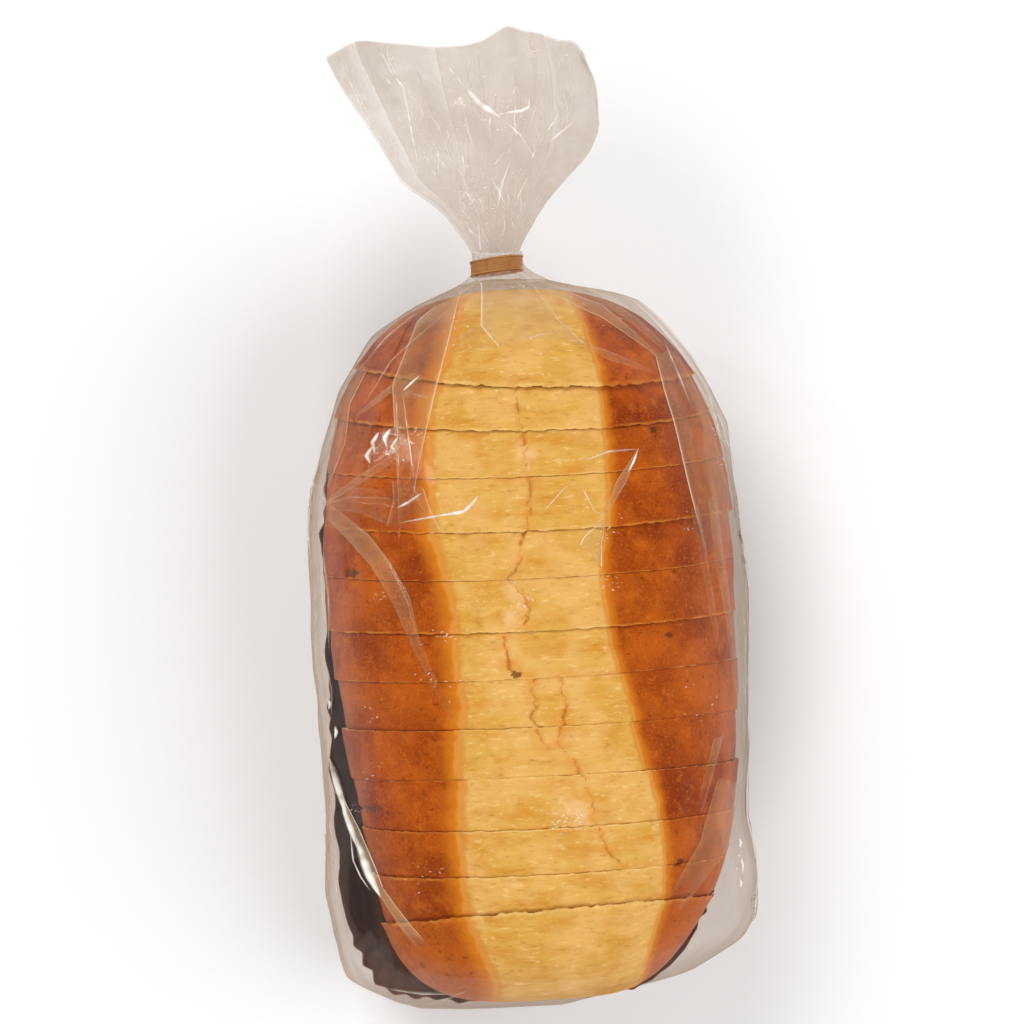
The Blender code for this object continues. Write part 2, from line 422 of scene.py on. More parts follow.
def crumb_material():
    """Soft open crumb of the cut faces."""
    mat, kit, shader = new_material("bread_crumb")
    where = kit.place()
    pores = kit.span(kit.cells(where, 420.0), 0.05, 0.42)
    big = kit.span(kit.cells(where, 130.0), 0.05, 0.30)
    # Painted shade: the crumb is darker in the hollows of the pores and of the larger holes.
    colour = kit.mix(pores, (0.50, 0.30, 0.12), (0.80, 0.60, 0.34))
    colour = kit.mix(kit.maths("MULTIPLY", kit.span(big, 1.0, 0.0), 0.6), colour, (0.44, 0.25, 0.09))
    kit.join(colour, shader.inputs["Base Color"])
    shader.inputs["Roughness"].default_value = 0.92
    shader.inputs["Specular IOR Level"].default_value = 0.2
    height = kit.maths("ADD", pores, kit.maths("MULTIPLY", big, 1.5))
    kit.join(kit.bump(height, 0.7, 0.0008), shader.inputs["Normal"])
    return mat


def case_material():
    """Dark brown greaseproof paper, darker and shinier where fat has soaked in."""
    mat, kit, shader = new_material("baking_paper")
    mottle = use_group(kit, MOTTLE, **{"Patch size": 55.0, "Speck size": 1400.0})
    fibre = kit.noise(kit.place((1.0, 1.0, 0.25)), 1200.0, 4.0)
    colour = kit.mix(mottle.outputs["Patches"], (0.215, 0.083, 0.044), (0.300, 0.128, 0.070))
    colour = kit.mix(kit.maths("MULTIPLY", kit.span(fibre, 0.5, 0.8), 0.4), colour, (0.26, 0.130, 0.075))
    kit.join(colour, shader.inputs["Base Color"])
    kit.join(kit.span(mottle.outputs["Patches"], 0.0, 1.0, 0.42, 0.68), shader.inputs["Roughness"])
    shader.inputs["Specular IOR Level"].default_value = 0.4
    kit.join(kit.bump(fibre, 0.4, 0.00015), shader.inputs["Normal"])
    return mat


def film_material(name, over_crust, over_air, crumple):
    """Clear glossy film: darker where it is seen edge-on or low down, partly painted shade; a veil where it
    is hazy, orange over the crust as painted bounced light; painted white highlights along creases.
    """
    mat, kit, veil = new_material(name)
    marks = use_group(kit, FILM_MARKS, **{"Crumple size": 1.0 / crumple})
    # Painted highlights: along creases and crinkles the veil turns white
    painted_glint = kit.field("painted_glint")
    # Over the crust the veil takes the bread's orange: painted light bounced from the bread.
    tint = kit.mix(kit.field("over"), over_air, over_crust)
    kit.join(kit.mix(kit.span(painted_glint, 0.0, 0.6), tint, (1.0, 0.965, 0.92)), veil.inputs["Base Color"])
    veil.inputs["Roughness"].default_value = 0.38
    veil.inputs["Specular IOR Level"].default_value = 0.12
    dent = kit.bump(marks.outputs["Crumple"], 0.30, crumple * 0.12)
    kit.join(dent, veil.inputs["Normal"])
    gloss = kit.add("BsdfGlossy")
    gloss.inputs["Color"].default_value = (0.96, 0.93, 0.90, 1.0)
    gloss.inputs["Roughness"].default_value = 0.10
    kit.join(dent, gloss.inputs["Normal"])
    clear = kit.add("BsdfTransparent")
    # Painted shade: the film lets less light through where it is seen edge-on, partly real for the extra film
    # in view and partly standing in for the dark room it would reflect, and more so near the floor, standing
    # in for the shade round the loaf's foot.
    edge_on = kit.add("LayerWeight")
    edge_on.inputs["Blend"].default_value = 0.40
    through = kit.span(edge_on.outputs["Facing"], 0.30, 0.90)
    pale = kit.mix(kit.field("low"), (0.988, 0.976, 0.962), (0.84, 0.77, 0.71))
    kit.join(kit.mix(through, pale, (0.77, 0.695, 0.63)), clear.inputs["Color"])
    fresnel = kit.add("Fresnel")
    fresnel.inputs["IOR"].default_value = 1.28
    kit.join(dent, fresnel.inputs["Normal"])
    mirror = kit.add("MixShader")
    kit.join(kit.maths("MINIMUM", fresnel.outputs[0], MOST_MIRRORED), mirror.inputs[0])
    kit.join(clear.outputs[0], mirror.inputs[1])
    kit.join(gloss.outputs[0], mirror.inputs[2])
    share = kit.maths("MULTIPLY", kit.span(marks.outputs["Cloud"], 0.0, 1.0, 0.65, 1.3), kit.field("haze"))
    # The painted highlights also make the veil nearly opaque along creases and crinkles.
    share = kit.maths("ADD", share, painted_glint, clamp=True)
    share = kit.maths("MINIMUM", share, MOST_VEILED)
    whole = kit.add("MixShader")
    kit.join(share, whole.inputs[0])
    kit.join(mirror.outputs[0], whole.inputs[1])
    kit.join(veil.outputs[0], whole.inputs[2])
    kit.join(whole.outputs[0], mat.node_tree.nodes["Material Output"].inputs["Surface"])
    return mat


def kraft_material():
    """Brown kraft paper with fine fibres along its length."""
    mat, kit, shader = new_material("kraft_paper")
    fibre = kit.noise(kit.place((0.25, 1.0, 0.25)), 1500.0, 4.0, 0.65)
    mottle = use_group(kit, MOTTLE, **{"Patch size": 260.0, "Speck size": 1800.0})
    colour = kit.mix(mottle.outputs["Patches"], (0.36, 0.155, 0.045), (0.46, 0.215, 0.075))
    colour = kit.mix(kit.maths("MULTIPLY", kit.span(fibre, 0.5, 0.75), 0.35), colour, (0.24, 0.095, 0.028))
    # Painted highlight: lighter along the tops of the wire beads.
    bead_highlight = kit.span(kit.field("lip"), 0.5, 1.0)
    colour = kit.mix(kit.maths("MULTIPLY", bead_highlight, 0.6), colour, (0.66, 0.40, 0.20))
    kit.join(colour, shader.inputs["Base Color"])
    shader.inputs["Roughness"].default_value = 0.7
    kit.join(kit.bump(fibre, 0.35, 0.0001), shader.inputs["Normal"])
    return mat


# ------------------------------------------------------------------ loaf

CENTRE_LINE = (
    (-152, -140, -118, -88, -60, -30, 8, 24, 36, 46, 69),
    (-5, -4.5, 0.5, 2, 1.5, 0.3, 0.4, 0.1, -0.6, -1, -2))
BURST_LEFT = (
    (-145, -122, -103, -58, -27, -10, 18, 32, 51, 64),
    (-16, -25.5, -27, -25, -26, -30.5, -31.5, -28.5, -22, -17),
)
BURST_RIGHT = (
    (-141, -121, -109, -91, -76, -60, -42, -27, 0, 22, 40, 58, 62),
    (28, 34, 34, 32, 28, 24, 20.5, 18, 21, 21.5, 21, 17, 14.5),
)
CRACKS = (
    ((-5, 35), (-4, 31), (-3, 19), (-2.5, 7), (-4, -11), (-7, -20), (-9.5, -22.5), (-4, -29), (-4.5, -36)),
    ((-12, -40), (-10, -50)),
    ((-4.5, -53), (-3.5, -59), (-5, -63.5), (-2.5, -69.5), (2, -76)),
    ((4, -53), (5.5, -59.5), (4.5, -67), (3.5, -73), (8, -77.5), (11.5, -87), (12, -93), (14, -99),
     (17, -106), (20, -109)),
)
TORN_PATCHES = ((-3, 15, 3, 6), (-7, -27, 4, 6), (7, -93, 6, 4), (-9, -33, 3, 3))
BURNT_SPOTS = (
    (37.5, 22, 1.3), (-56, -18, 1.5), (-53.5, -90, 1.7), (39, -41, 1.3), (39.5, -110, 1.4), (-8.5, -51, 1.1))


def along_loaf(table, y):
    return MM * curve_through(y / MM, *table, 4.0)


def loaf_section(y, angles):
    """Smooth crust outline: x and z for each place along the loaf and angle round it."""
    to_head = np.clip((y - LOAF_WAIST) / (LOAF_HEAD - LOAF_WAIST), 0.0, 1.0)
    to_foot = np.clip((LOAF_WAIST - y) / (LOAF_WAIST - LOAF_FOOT), 0.0, 1.0)
    head_square = np.where(np.cos(angles) > 0, 2.8, 2.6)
    foot_square = np.where(np.cos(angles) > 0, 4.2, 3.3)
    wide = (1 - to_head ** head_square) ** (1 / head_square)
    wide = wide * (1 - to_foot ** foot_square) ** (1 / foot_square) * (1 - 0.105 * to_foot)
    tall = (1 - to_head ** 3.6) ** (1 / 3.0) * (1 - to_foot ** 6.5) ** (1 / 2.6)
    rise = (LOAF_CROWN - LOAF_GIRTH - 2.0 * MM * to_head ** 2 - 3.5 * MM * to_foot ** 2) * tall
    drop = (LOAF_GIRTH - LOAF_BASE) * tall
    up = np.sin(angles) >= 0
    curve = np.where(up, 2 / 2.25, 2 / 2.9)
    x = LOAF_HALF_WIDTH * wide * power(np.cos(angles), curve)
    z = LOAF_GIRTH + np.where(up, rise, drop) * power(np.sin(angles), curve)
    tuck = ease((LOAF_GIRTH - z) / LOAF_GIRTH)
    return x * (1.0 - 0.17 * tuck) + along_loaf(CENTRE_LINE, y), z


ROUND = 400
DENSE = np.linspace(0.0, 2 * np.pi, 1441)


def even_angles(y):
    """Angles that put the points evenly round the outline at y, closer together on the dome."""
    x, z = loaf_section(np.full_like(DENSE, y), DENSE)
    step = np.hypot(np.diff(x), np.diff(z)) * np.where(z[1:] > 0.8 * LOAF_GIRTH, 1.0, 0.42)
    length = np.concatenate([[0.0], np.cumsum(step + 1e-9)])
    return np.interp(np.linspace(0.0, length[-1], ROUND, endpoint=False), length, DENSE)


def crust_relief(x, y, z):
    """Height of bumps, burst band and cracks over the smooth loaf, and the fields that colour them."""
    from_left, from_right = x - along_loaf(BURST_LEFT, y), along_loaf(BURST_RIGHT, y) - x
    waver = 0.8 * MM * layered(x / (40 * MM), y / (6 * MM), 61)
    inside = np.minimum(0.55 * (from_left + waver), from_right + 0.5 * waver)
    inside = np.where(z > LOAF_GIRTH * 1.1, inside, -30 * MM)
    jag = 1.0 * MM * lumps(y / (2.1 * MM), x * 0 + 0.5, 7)
    jag = jag + 0.6 * MM * lumps(y / (0.8 * MM), x / (3 * MM), 8)
    crack = np.full(x.shape, 1.0)
    for line in CRACKS:
        crack = np.minimum(crack, line_distance(x + jag, y, [(MM * a, MM * b) for a, b in line]))
    crack = np.where(z > LOAF_GIRTH, crack, 1.0)
    open_crack = 0.30 + 0.70 * ease(0.5 + 0.9 * layered(y / (5 * MM), x * 0 + 9.5, 19))
    torn = np.zeros(x.shape)
    for px, py, rx, ry in TORN_PATCHES:
        away = np.hypot((x - MM * px) / (MM * rx), (y - MM * py) / (MM * ry))
        torn = np.maximum(torn, ease(1.5 - away + 0.7 * layered(x / (2.5 * MM), y / (2.5 * MM), 71)))
    burnt = np.zeros(x.shape)
    for px, py, size in BURNT_SPOTS:
        away = np.hypot((x - MM * px) / 1.4, y - MM * py) / (MM * size)
        burnt = np.maximum(burnt, ease(1.4 - away + 0.9 * layered(x / MM, y / MM, 17)))
    relief = 0.5 * MM * layered(x / (15 * MM), y / (15 * MM), 3)
    relief += 0.13 * MM * layered(x / (2.6 * MM), y / (2.6 * MM), 11)
    relief += 0.8 * MM * ease(inside / (2.4 * MM) + 0.5)
    band = ease(inside / (2.0 * MM))
    relief += band * 0.36 * MM * layered(x / (5.5 * MM), y / (1.2 * MM), 23)
    relief += band * 0.45 * MM * layered(x / (9 * MM), y / (7 * MM), 29)
    relief -= 0.9 * MM * open_crack * np.exp(-(crack / (0.50 * MM)) ** 2)
    relief += 0.40 * MM * open_crack * np.exp(-((crack - 1.6 * MM) / (0.9 * MM)) ** 2)
    relief -= 0.25 * MM * torn * (1 + layered(x / (1.5 * MM), y / (1.5 * MM), 73))
    relief -= 0.7 * MM * burnt
    from_crack = np.minimum(crack / MM / open_crack, 40.0)
    return relief, {"burst": inside / MM, "crack": from_crack, "torn": torn, "burnt": burnt}


def close_ring(ring, row, hollow, rings, points, fields, faces, slots, start, count):
    """Crumb face, or the tip of a heel, inside one end ring of a crust wall."""
    centre = ring.mean(axis=0)
    previous = start
    shares = (0.5,) if hollow else (0.985, 0.94, 0.82, 0.64, 0.44, 0.24, 0.08)
    for share in shares:
        inner = centre + (ring - centre) * share
        if not hollow:
            inner[:, 1] += 0.20 * MM * lumps(inner[:, 0] / (2 * MM), inner[:, 2] / (2 * MM), 400)
        points.append(inner)
        for label, values in rings.items():
            fields[label].append(values[row])
        for column in range(ROUND):
            after = (column + 1) % ROUND
            face = (previous + column, previous + after, count + after, count + column)
            faces.append(face[::-1] if row else face)
        previous = count
        count += ROUND
    points.append(centre[None, :])
    for label, values in rings.items():
        fields[label].append(values[row][:1])
    for column in range(ROUND):
        face = (previous + column, previous + (column + 1) % ROUND, count)
        faces.append(face[::-1] if row else face)
    slots += [0 if hollow else 1] * ROUND * (len(shares) + 1)
    return count + 1


def build_slice(index, upper, lower, rng, crust, crumb):
    """One slice or heel between its upper cut, nearer the neck, and its lower cut.

    A cut is its place at the crown, its turn, its lean and its step: above nought, the
    crust on the neck side stands proud of the next slice, and below nought it is the other way.
    """
    first, last = index == 0, index == len(SLICE_THICKNESSES) + 1
    low, high = lower[0], upper[0]
    if first or last:
        turn = np.linspace(0.0, 0.5 * np.pi, 46)
        reach = (high - low - SLICE_GAP) * np.sin(turn) ** 0.92
        places = low + SLICE_GAP + reach if first else high - SLICE_GAP - reach[::-1]
    else:
        share = np.linspace(-1.0, 1.0, 25)
        share = 0.5 + 0.5 * np.sign(share) * (1 - (1 - np.abs(share)) ** 1.3)
        places = low + 0.5 * SLICE_GAP + (high - low - SLICE_GAP) * share
    angles = np.array([even_angles(np.clip(y, LOAF_FOOT + 1e-5, LOAF_HEAD - 1e-5)) for y in places])
    crown_y = np.repeat(places[:, None], ROUND, axis=1)
    share = (crown_y - low) / (high - low)
    y = crown_y
    for _ in range(3):
        x, z = loaf_section(np.clip(y, LOAF_FOOT, LOAF_HEAD), angles)
        depth = LEAN_REACH * np.tanh((LOAF_CROWN - z) / LEAN_REACH)
        slant = [x * math.tan(cut[1]) + depth * math.tan(cut[2]) for cut in (lower, upper)]
        y = crown_y + slant[0] * (1 - share) + slant[1] * share
    step_x, step_z = np.diff(x, axis=1, prepend=x[:, -1:]), np.diff(z, axis=1, prepend=z[:, -1:])
    arc = np.cumsum(np.hypot(step_x, step_z), axis=1)

    from_low = crown_y - places[0] if not last else np.full_like(y, 30 * MM)
    from_high = places[-1] - crown_y if not first else np.full_like(y, 30 * MM)
    edge = np.minimum(from_low, from_high)
    relief, rings = crust_relief(x, y, z)
    on_top = ease((z - 0.8 * LOAF_GIRTH) / (8 * MM))
    lip = np.full_like(y, 30.0)
    push = np.zeros_like(y)
    for away, cut, way, seed in ((from_low, lower, 1, index), (from_high, upper, -1, index - 1)):
        proud = max(0.0, way * cut[3])
        rough_lip = layered(arc / (2.4 * MM), arc * 0, 300 + seed, 4)
        relief += on_top * proud * MM * (0.35 + 0.45 * rough_lip) * np.exp(-away / (1.2 * MM))
        relief += on_top * way * cut[3] * 0.38 * MM * np.exp(-away / (6.0 * MM))
        ragged = layered(arc / (1.9 * MM), arc * 0, 100 + seed, 4)
        reach = MM * (0.12 + 0.22 * proud + (0.12 + 0.35 * proud) * ragged)
        push -= way * on_top * np.where(proud > 0, reach, 0.0) * np.exp(-away / (1.2 * MM))
        if proud > 0:
            lip = np.minimum(lip, away / MM / max(proud, 0.4))
    relief -= 0.20 * MM * np.exp(-edge / (0.30 * MM))
    if first or last:
        relief = relief * ease(np.hypot(x, z - LOAF_GIRTH) / (18 * MM))
    ahead_x = np.roll(x, -1, axis=1) - np.roll(x, 1, axis=1)
    ahead_z = np.roll(z, -1, axis=1) - np.roll(z, 1, axis=1)
    span = np.maximum(np.hypot(ahead_x, ahead_z), 1e-9)
    x, z = x + relief * ahead_z / span, z - relief * ahead_x / span
    x = x + rng.uniform(-0.55, 0.55) * MM
    z = np.maximum(z + rng.uniform(-0.15, 0.15) * MM * ease(z / LOAF_GIRTH), LOAF_BASE * 0.7)
    shade = rng.uniform(-0.8, 0.8) + (2.4 if last else 0.0)

    rows = len(places)
    # Share of painted shade on the crust low on the sides.
    low_side = 1 - ease((z - LOAF_GIRTH) / (28 * MM))
    rings |= {"cut": edge / MM, "lip": lip, "tone": np.full_like(x, shade), "side": low_side}
    points = [np.stack([x, y + push, z], axis=-1).reshape(-1, 3)]
    fields = {label: [values.ravel()] for label, values in rings.items()}
    faces = [face[::-1] for face in grid_faces(rows, ROUND, True)]
    slots = [0] * len(faces)
    count = rows * ROUND
    for row in (0, rows - 1):
        ring = np.stack([x[row], y[row], z[row]], axis=-1)
        hollow = first and row > 0 or last and row == 0
        count = close_ring(ring, row, hollow, rings, points, fields, faces, slots, row * ROUND, count)
    name = "heel_head" if first else "heel_foot" if last else f"slice_{index:02d}"
    joined = {label: np.concatenate(values) for label, values in fields.items()}
    piece = add_mesh(name, np.concatenate(points), faces, joined, slots)
    piece.data.set_sharp_from_angle(angle=math.radians(70.0))
    return finish(piece, "crust", crust, crumb)


def build_loaf():
    """Two heels and the slices between them."""
    crust, crumb = crust_material(), crumb_material()
    rng = np.random.default_rng(12)
    places = LOAF_HEAD - HEAD_THICKNESS - np.concatenate([[0.0], np.cumsum(SLICE_THICKNESSES)])
    ends = (LOAF_HEAD, 0.0, 0.0, 0.0), (LOAF_FOOT, 0.0, 0.0, 0.0)
    cuts = [ends[0], *zip(places, CUT_TURNS, CUT_LEANS, LIP_STEPS), ends[1]]
    return [build_slice(i, cuts[i], cuts[i + 1], rng, crust, crumb) for i in range(len(cuts) - 1)]


# ------------------------------------------------------------------ baking case

def case_outline(count):
    """Plan of the case at its rim, as points evenly spaced round it, with their outward normals."""
    turn = np.linspace(0.0, 2 * np.pi, 2881)
    y_head, y_foot = LOAF_HEAD + 0.6 * MM, CLOSED_END + 0.8 * MM
    right, head = np.cos(turn) >= 0, np.sin(turn) >= 0
    exponent = np.where(head, 2.2, np.where(right, 3.5, 6.5))
    x = (BAG_HIGH.x - 3.6 * MM) * power(np.cos(turn), 2 / exponent)
    reach = np.where(head, y_head - LOAF_WAIST, LOAF_WAIST - y_foot)
    y = reach * power(np.sin(turn), 2 / exponent) + LOAF_WAIST
    to_foot = np.clip((LOAF_WAIST - y) / (LOAF_WAIST - y_foot), 0, 1)
    x = x * (1 - np.where(right, 0.06, 0.015) * to_foot) + 0.8 * MM
    x = x - 1.5 * MM * ease((y - 10 * MM) / (45 * MM))
    length = np.concatenate([[0.0], np.cumsum(np.hypot(np.diff(x), np.diff(y)))])
    wanted = np.linspace(0.0, length[-1], count, endpoint=False)
    x, y = np.interp(wanted, length, x), np.interp(wanted, length, y)
    dx, dy = np.roll(x, -1) - np.roll(x, 1), np.roll(y, -1) - np.roll(y, 1)
    size = np.hypot(dx, dy)
    return x, y, dy / size, -dx / size, wanted


def build_case():
    """Fluted paper case: flat base, flared wall pressed flat in places, toothed rim."""
    per_flute = 10
    count = FLUTES * per_flute
    x, y, nx, ny, arc = case_outline(count)
    wave = np.abs(((np.arange(count) / per_flute) % 1.0) * 2 - 1) * 2 - 1
    wave = np.sign(wave) * np.abs(wave) ** 0.8
    uneven = np.clip(0.50 + 1.2 * lumps(arc / (16 * MM), arc * 0, 31), 0.08, 1.5)
    rim = CASE_RIM + 1.9 * MM * lumps(arc / (15 * MM), arc * 0 + 2, 33) + 0.5 * MM * wave * uneven
    rows = []
    for share in np.linspace(0.0, 1.0, 15):
        z = 0.7 * MM + (rim - 0.7 * MM) * share
        inset = CASE_FLARE * (1 - share) ** 1.5
        depth = FLUTE_DEPTH * (0.25 + 0.75 * share) * uneven * wave
        curl = 1.3 * MM * share ** 6 * lumps(arc / (9 * MM), arc * 0 + 5, 35)
        out = depth - inset + curl
        rows.append(np.stack([x + nx * out, y + ny * out, z], axis=-1))
    base = rows[0]
    centre = base.mean(axis=0)
    inner = []
    for share in (0.97, 0.9, 0.75, 0.5, 0.2):
        ring = centre + (base - centre) * share
        ring[:, 2] = 0.7 * MM + 0.12 * MM * wave * ease((share - 0.6) / 0.3)
        inner.append(ring)
    grid = np.array(inner[::-1] + rows)
    points = np.concatenate([grid.reshape(-1, 3), centre[None, :]])
    faces = grid_faces(len(grid), count, True)
    last = len(points) - 1
    faces += [((column + 1) % count, column, last) for column in range(count)]
    piece = add_mesh("baking_case", points, faces)
    sheet = piece.modifiers.new("paper", "SOLIDIFY")
    sheet.thickness = CASE_PAPER
    sheet.offset = 0.0
    return finish(piece, "baking_case", case_material())


# ------------------------------------------------------------------ film

def fullness(along, exponent):
    near_end = END_CUT * (END_ROUNDING - along) / END_ROUNDING
    near_neck = (along - SHOULDER_START) / (SHOULDER_END - SHOULDER_START)
    step = np.clip(np.maximum(near_end, near_neck), 0.0, 1.0)
    return (1.0 - step ** exponent) ** (1.0 / exponent)


def film_sections(along, angles):
    """Smooth outer surface of the filled bag, from its closed end to the neck."""
    towards_end = ease((END_ROUNDING - along) / END_ROUNDING)
    towards_neck = ease((along - SHOULDER_START) / (SHOULDER_END - SHOULDER_START))
    middle = GIRTH_HEIGHT + (END_HEIGHT - GIRTH_HEIGHT) * towards_end
    middle = middle + (NECK.z - middle) * towards_neck
    place = (along + CLOSED_END) / MM
    left = curve_through(place, *FILM_LEFT, 1.4) * MM + NECK.x * towards_neck
    right = curve_through(place, *FILM_RIGHT, 1.4) * MM - NECK.x * towards_neck
    half = np.maximum(np.where(np.cos(angles) < 0, left, right), NECK_HALF_WIDTH)
    tall = fullness(along, SIDE_POWER)
    rise = np.hypot((BAG_HIGH.z - middle) * tall, NECK_HALF_HEIGHT * towards_neck)
    drop = np.hypot((middle + 3.0 * MM) * tall, NECK_HALF_HEIGHT * towards_neck)
    up = np.sin(angles) >= 0
    curve = np.where(up, 2 / DOME_POWER, 2 / BASE_POWER)
    curve = curve + (1 - curve) * towards_neck
    x = half * power(np.cos(angles), curve) + NECK.x * towards_neck
    z = middle + np.where(up, rise, drop) * power(np.sin(angles), curve)
    return x, along + CLOSED_END, z


FILM_COLUMNS = 420


def build_bag_film(film):
    """The filled bag's film: pleats that run to the neck, creases down its sides, tucked corners."""
    turn = np.linspace(0.0, 2 * np.pi, FILM_COLUMNS, endpoint=False)
    ends = np.linspace(0.0, 0.5 * np.pi, 34)
    along = np.concatenate([
        END_ROUNDING * (1 - np.cos(ends[:-1])),
        np.linspace(END_ROUNDING, SHOULDER_START, 100)[:-1],
        SHOULDER_START + (NECK_START - SHOULDER_START) * np.sin(np.linspace(0.0, 0.5 * np.pi, 90)),
        np.linspace(NECK_START, NECK_END, 8)[1:],
    ])
    angles, along = np.meshgrid(turn, along)
    x, y, z = film_sections(along, angles)
    arc = angles * 62 * MM
    out_x, out_z = np.cos(angles), np.sin(angles)
    gather = ease((along - 150 * MM) / (60 * MM)) * (1 - ease((along - 214 * MM) / (12 * MM)))
    push = np.zeros_like(x)
    rng = np.random.default_rng(5)
    for _ in range(30):
        at, width = rng.uniform(0, 2 * np.pi), rng.uniform(0.04, 0.10)
        reach, depth = rng.uniform(0.4, 1.0), rng.uniform(-0.7, 1.2) * MM
        off = np.abs((angles - at + np.pi) % (2 * np.pi) - np.pi) / width
        push += gather * ease(gather + reach - 0.6) * depth * np.maximum(0, 1 - off)
    slack = 1 - ease((along - 200 * MM) / (20 * MM))
    side = ease((np.abs(np.cos(angles)) - 0.55) / 0.3)
    push += slack * (0.5 + 0.4 * side) * MM * facets(arc / (26 * MM), along / (30 * MM), 41)
    push += slack * 0.22 * MM * facets(arc / (9 * MM), along / (11 * MM), 43, 1.1)
    crushed_end = 1 - ease((along - 12 * MM) / (30 * MM))
    push += crushed_end * 1.0 * MM * facets(arc / (13 * MM), along / (10 * MM), 47, 0.5)
    push += slack * side * 0.40 * MM * facets(arc / (6 * MM), along / (55 * MM), 45, 0.08)
    push += (1 - slack) * 0.25 * MM * np.cos(19 * angles)
    x, z = x + push * out_x, z + push * out_z
    z = np.clip(z, 0.15 * MM, BAG_HIGH.z + 1.5 * MM)
    points = np.stack([x, y, z], axis=-1)
    centre = points[0].mean(axis=0)
    closing = [centre + (points[0] - centre) * share for share in (0.8, 0.55, 0.3, 0.1)]
    grid = np.concatenate([np.array(closing[::-1]), points])
    faces = grid_faces(len(grid), FILM_COLUMNS, True)
    flat = np.concatenate([grid.reshape(-1, 3), centre[None, :]])
    last = len(flat) - 1
    faces += [((column + 1) % FILM_COLUMNS, column, last) for column in range(FILM_COLUMNS)]
    # Near the floor the film is darker and a little hazier: painted shade round the loaf's foot.
    low = 1 - ease((flat[:, 2] - 28 * MM) / (20 * MM))
    near_neck = ease((flat[:, 1] - 52 * MM) / (26 * MM))
    near_foot = 1 - ease((flat[:, 1] - CLOSED_END) / (12 * MM))
    haze = 0.03 * low + 0.30 * near_neck + 0.04 * near_foot
    fields = {"haze": haze, "painted_glint": 0.0 * haze, "over": over_crust(flat[:, 2]), "low": low}
    piece = add_mesh("bag_film", flat, faces, fields)
    piece.data.set_sharp_from_angle(angle=math.radians(16.0))
    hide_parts("filled_bag")
    return finish_film(piece, film)


# Share of film lying over the crust, where its veil gets the painted orange bounced from the bread.
def over_crust(height):
    return ease((height - 42 * MM) / (14 * MM))


def finish_film(piece, film):
    """Film lets the light through: it casts no shadow and holds back no bounced light."""
    piece.visible_shadow = False
    piece.visible_diffuse = False
    return finish(piece, "clear_film", film)


